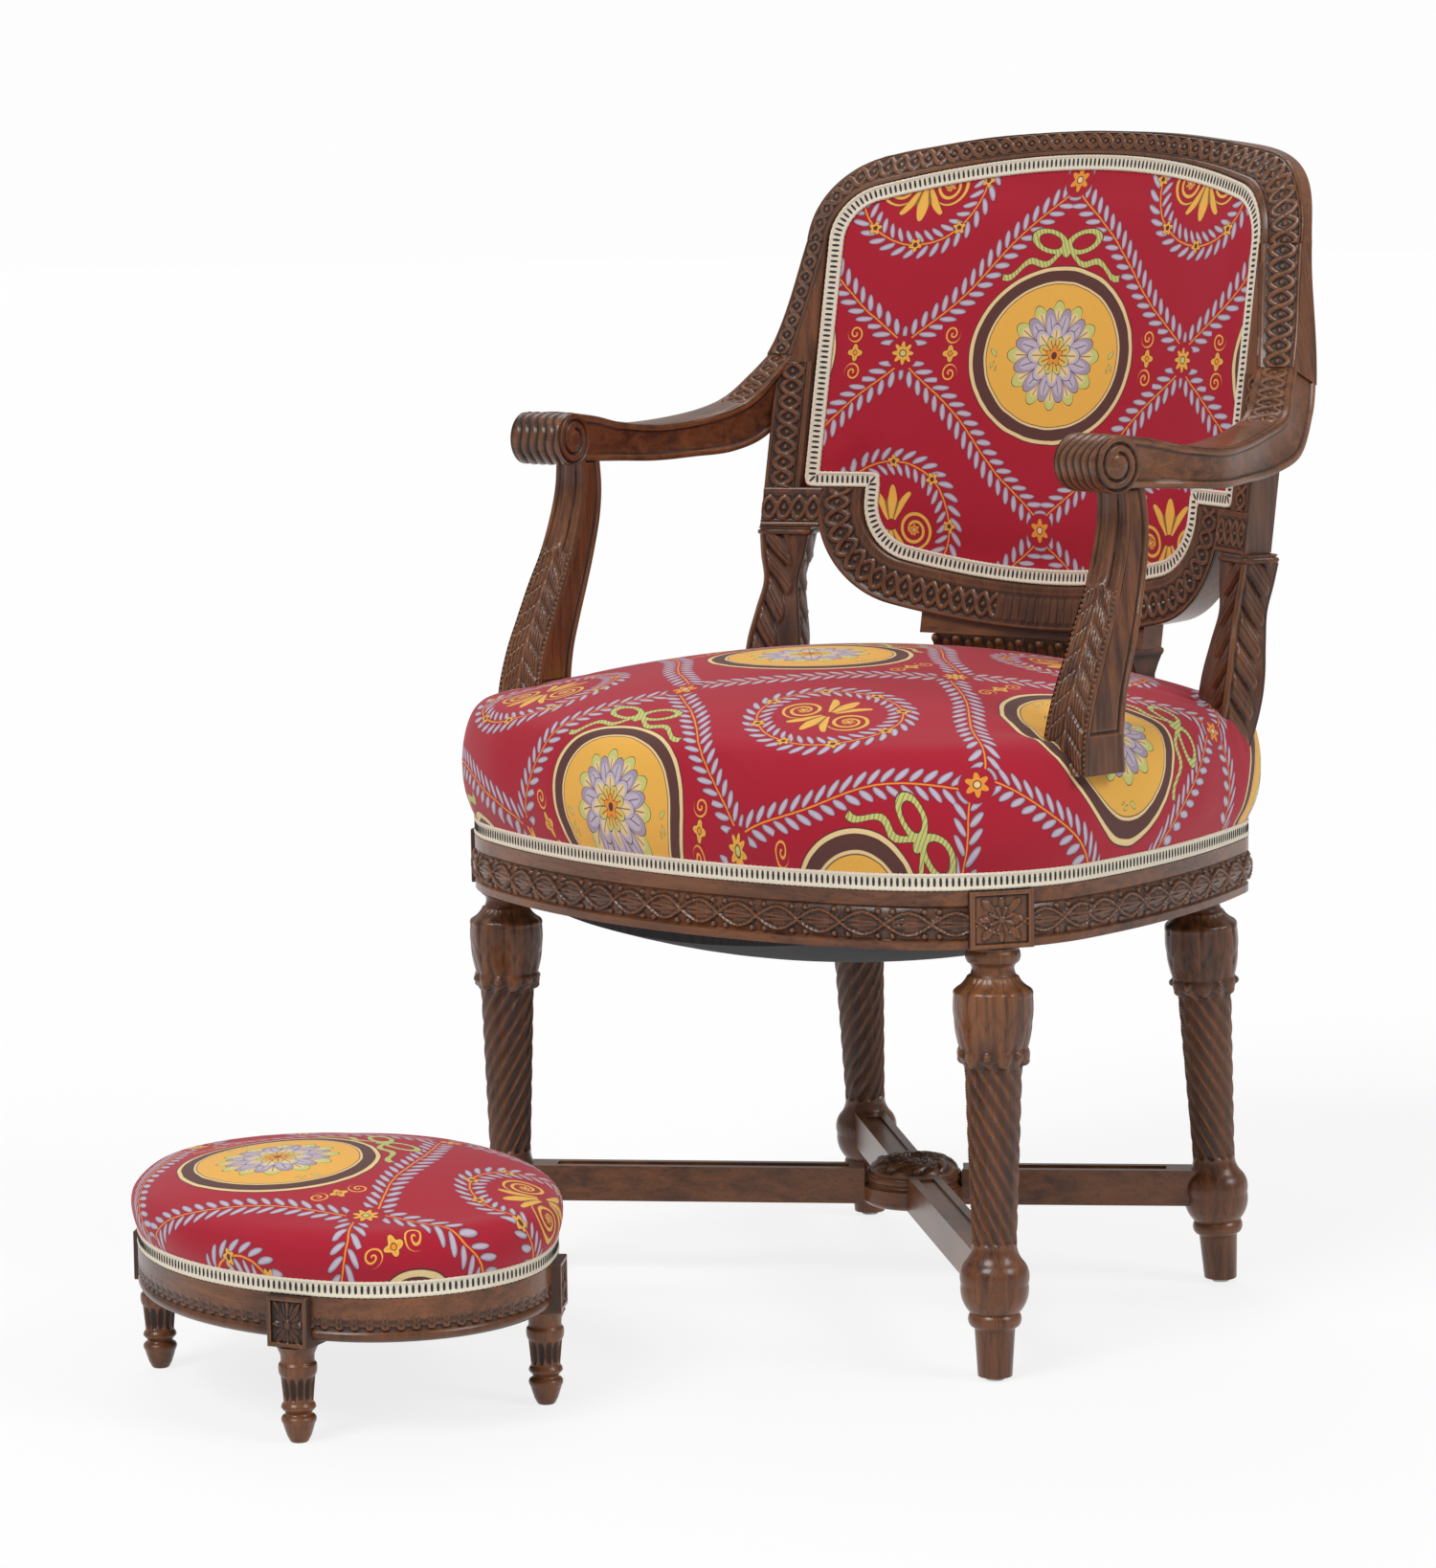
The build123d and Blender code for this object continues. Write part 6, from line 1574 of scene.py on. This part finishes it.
stool_centre, stool_heading = np.array([-94.3, -486.5]), math.radians(-16.6)
stool_quarter = corner_and_end(200, 124, 31)
stool_plan = upper_half(stool_quarter, 0) + lower_half(stool_quarter, 0)
stool_axis, stool_angles = (131.46, 103.28), ((1, -1, -54), (1, 1, 54), (-1, 1, 126), (-1, -1, 234))
stool_low_z, stool_crown_z, stool_crown_radius = 113.6, 186.4, 600.0
stool_sides = [(-2.8, 113.6), (-2.5, 118), (-2.0, 122.5), (-1.0, 126.0), (1.2, 129.2), (3.0, 134), (4.3, 140),
               (4.2, 147), (2.4, 153), (-1.6, 158.5), (-7.0, 162.6)]
stool_leg_profile = np.array([
    (0, 6.3), (1, 7.2), (5, 9.2), (10, 10.8), (14, 12.0), (15.2, 12.6), (16.4, 13.2), (18.5, 13.2), (20, 12.2),
    (21.2, 10.2), (22.6, 9.8), (24, 11.2), (26.4, 13.2), (28.6, 12.6), (30.4, 11.3), (32, 11.2), (41, 12.0),
    (50.3, 12.9), (52, 13.9), (54, 14.4), (57, 14.6), (59.4, 14.3), (61, 12.9), (63, 12.6), (67, 12.9), (70, 14.2),
    (73.9, 16.0)])
stool_leg_height, stool_leg_step, stool_leg_sides, stool_flutes, stool_flute_depth = 74.01, 0.7, 132, 12, 1.9
block_half, block_out_y, block_low_z, block_high_z, block_leaf_z = 16.9, 15.1, 74.2, 112.8, 91.5
block_leaf_reach, block_leaf_stretch, block_border = 12.6, 1.55, 3.2
band_low_z, band_high_z, ogee_low_z, ogee_high_z, band_leaves, band_sunk = 88.8, 101.2, 79.4, 88.2, 96, 5.5
stool_voxel, stool_pressure, stool_stiffness, stool_swell = 0.004, 3.0, 30, 5
stool_print_shift = (12.0, 52.0)

for node in ("stool_front_rail", "stool_rear_rail", "stool_left_rail", "stool_right_rail"):
    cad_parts[node].data.materials[0] = wood_across
for node, finish in (("stool_webbing", jute), ("stool_bottom_cloth", bottom_cloth)):
    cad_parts[node].data.materials[0] = finish


def on_stool(points):
    """Points of the footstool's own plan in the chair's frame."""
    placed = np.array(points, float)
    x, y = placed[..., 0].copy(), placed[..., 1].copy()
    placed[..., 0] = stool_centre[0] + x * math.cos(stool_heading) - y * math.sin(stool_heading)
    placed[..., 1] = stool_centre[1] + x * math.sin(stool_heading) + y * math.cos(stool_heading)
    return placed


heights = np.arange(0, stool_leg_height, stool_leg_step)[:, None]
around = np.linspace(0, 2 * math.pi, stool_leg_sides, endpoint=False)[None, :]
fluted = smooth(heights, 31.5, 33.5) * smooth(51.0 - heights, 0, 2.5)
point = smooth(heights, 31.5, 38.0) * smooth(52.0 - heights, 0, 8.0)
fluting = np.abs(np.sin(around * stool_flutes / 2))
dip = -stool_flute_depth * fluted * np.clip((fluting - 0.25 + 0.55 * (point - 0.75)) / 0.75, 0, 1) ** 0.6
leg_reach = np.interp(heights, *stool_leg_profile.T) + dip
# Painted shade in the flutes, and painted highlight over the rest of the leg
leg_painted_light = np.clip(dip * 0.55 + 0.15, -1, 1)

tall = np.linspace(block_low_z, block_high_z, 70)
across, level = np.meshgrid(np.linspace(-block_half, block_half, 62), tall)
up_from = (level - block_leaf_z) / block_leaf_stretch
reach, turn = np.hypot(across, up_from), np.arctan2(up_from, across)
span = block_leaf_reach / np.maximum(np.abs(np.cos(turn)), np.abs(np.sin(turn))) ** 0.6
foliage = leaf(np.sin(4 * turn) * 1.05, reach / span, 2.5) * 2.7
between = leaf(np.cos(4 * turn) * 1.05, reach / (span * 0.8), 1.5) * 1.5
foliage = np.maximum(np.maximum(foliage, between), 2.8 * knob(reach, 2.8))
edge = np.minimum(np.minimum(block_half - np.abs(across), level - block_low_z), block_high_z - level)
panel = smooth(edge, block_border, block_border + 0.8)
block_relief = (foliage - 2.0) * panel + 0.4 * (1 - panel) - 0.7 * (1 - smooth(edge, 0.0, 0.8))
# Painted shade over the sunk panel and between the leaves, painted highlight on their high points
block_painted_light = np.pad(painted_light_of(block_relief, 3, 0.8) - 0.35 * panel, ((0, 0), (0, 2)))

for name, (side, end, angle_degrees) in zip(("front_right", "rear_right", "rear_left", "front_left"), stool_angles):
    x, y = side * stool_axis[0], end * stool_axis[1]
    rings = np.stack([x + leg_reach * np.cos(around), y + leg_reach * np.sin(around), heights + 0 * leg_reach], -1)
    leg_mesh = tube_mesh(f"stool_{name}_turning", on_stool(rings), painted_light=leg_painted_light)
    leg = new_piece(f"stool_{name}_turning", leg_mesh, wood_upright, "footstool")
    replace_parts(leg, f"stool_{name}_leg")
    out, beside = level_turn(math.radians(angle_degrees))
    front = (
        np.array([x, y, 0]) + out * (block_out_y + block_relief[..., None]) + beside * across[..., None]
        + upward * level[..., None])
    back = np.stack([
        np.array([x, y, 0]) - out * block_half + beside * place + upward * tall[:, None]
        for place in (block_half, -block_half)], 1)
    block = np.concatenate([front, back], 1)
    block_mesh = tube_mesh(f"stool_{name}_block", on_stool(block), painted_light=block_painted_light)
    new_piece(f"stool_{name}_block", block_mesh, wood_carved, "footstool")

points, out, runs = walk(stool_plan, 1.0)
level = np.concatenate([np.linspace(ogee_low_z, ogee_high_z, 9), np.linspace(band_low_z, band_high_z, 17)])[None, :]
in_band = level > (ogee_high_z + band_low_z) / 2
rise_share = np.clip((level - band_low_z) / (band_high_z - band_low_z), 0, 1)
leaf_turns = runs[:, None] / (runs[-1] / band_leaves)
band = leaf(lane(leaf_turns), 1 - rise_share * 0.96, 2.0) * 2.6
between = leaf(lane(leaf_turns + 0.5), 1.2 - rise_share, 2.0) * 1.6
band = np.maximum(band, between) * in_band
ogee = -3.6 + 3.9 * np.sin(math.pi * np.clip((level - ogee_low_z) / 9.6, 0, 1)) ** 0.7
reach = np.where(in_band, -1.9 + 0.9 * rise_share, ogee) + band
strip = np.concatenate([points[:, None] + out[:, None] * reach[..., None], (level + 0 * reach)[..., None]], -1)
hidden = np.stack([
    np.concatenate([points - out * band_sunk, np.full((len(points), 1), height)], 1)
    for height in (band_high_z, ogee_low_z)], 1)
strip = np.concatenate([strip, hidden], 1)
# Painted shade over the whole leaf band and between its leaves, painted highlight on the leaves' high points
strip_painted_light = np.pad(painted_light_of(band, 2, 0.8) - 0.3 * in_band, ((0, 0), (0, 2)))
strip_mesh = tube_mesh("stool_leaf_band", on_stool(strip), closed=True, painted_light=strip_painted_light)
new_piece("stool_leaf_band", strip_mesh, wood_carved, "footstool")

form = dome_mesh("stool_cover", stool_plan, (0, 0), stool_sides, stool_crown_z, stool_crown_radius, stool_low_z)


def stool_held(points):
    return np.maximum(smooth(135 - points[:, 2], 0, 7), smooth(points[:, 2], 150, 178) * 0.6)


form, points = puffed("stool_cover", form, stool_voxel, stool_pressure, stool_stiffness, stool_swell, stool_held)
points = eased(form, points, 3)
around = np.arctan2(points[:, 1], points[:, 0])
side = smooth(points[:, 2], 128, 138) * smooth(164 - points[:, 2], 0, 16)
points[:, :2] += unit(points[:, :2]) * (0.6 * np.sin(around * 13) * side)[:, None]
give_cloth(form, laid_flat(points, stool_crown_z, stool_crown_radius) + stool_print_shift)
set_points(form, on_stool(points))
stool = new_piece("stool_cover", form, cotton, "footstool")
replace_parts(stool, "stool_cushion")
line, outward, runs = braid_line(stool_plan, 1.4, 119.6)
placed = on_stool(line)
outward = on_stool(line + outward) - placed
braid_band(
    "stool_braid", placed, np.tile(upward * 1.0, (len(line), 1)), outward, runs, 12.4, "stool_gimp", "footstool")
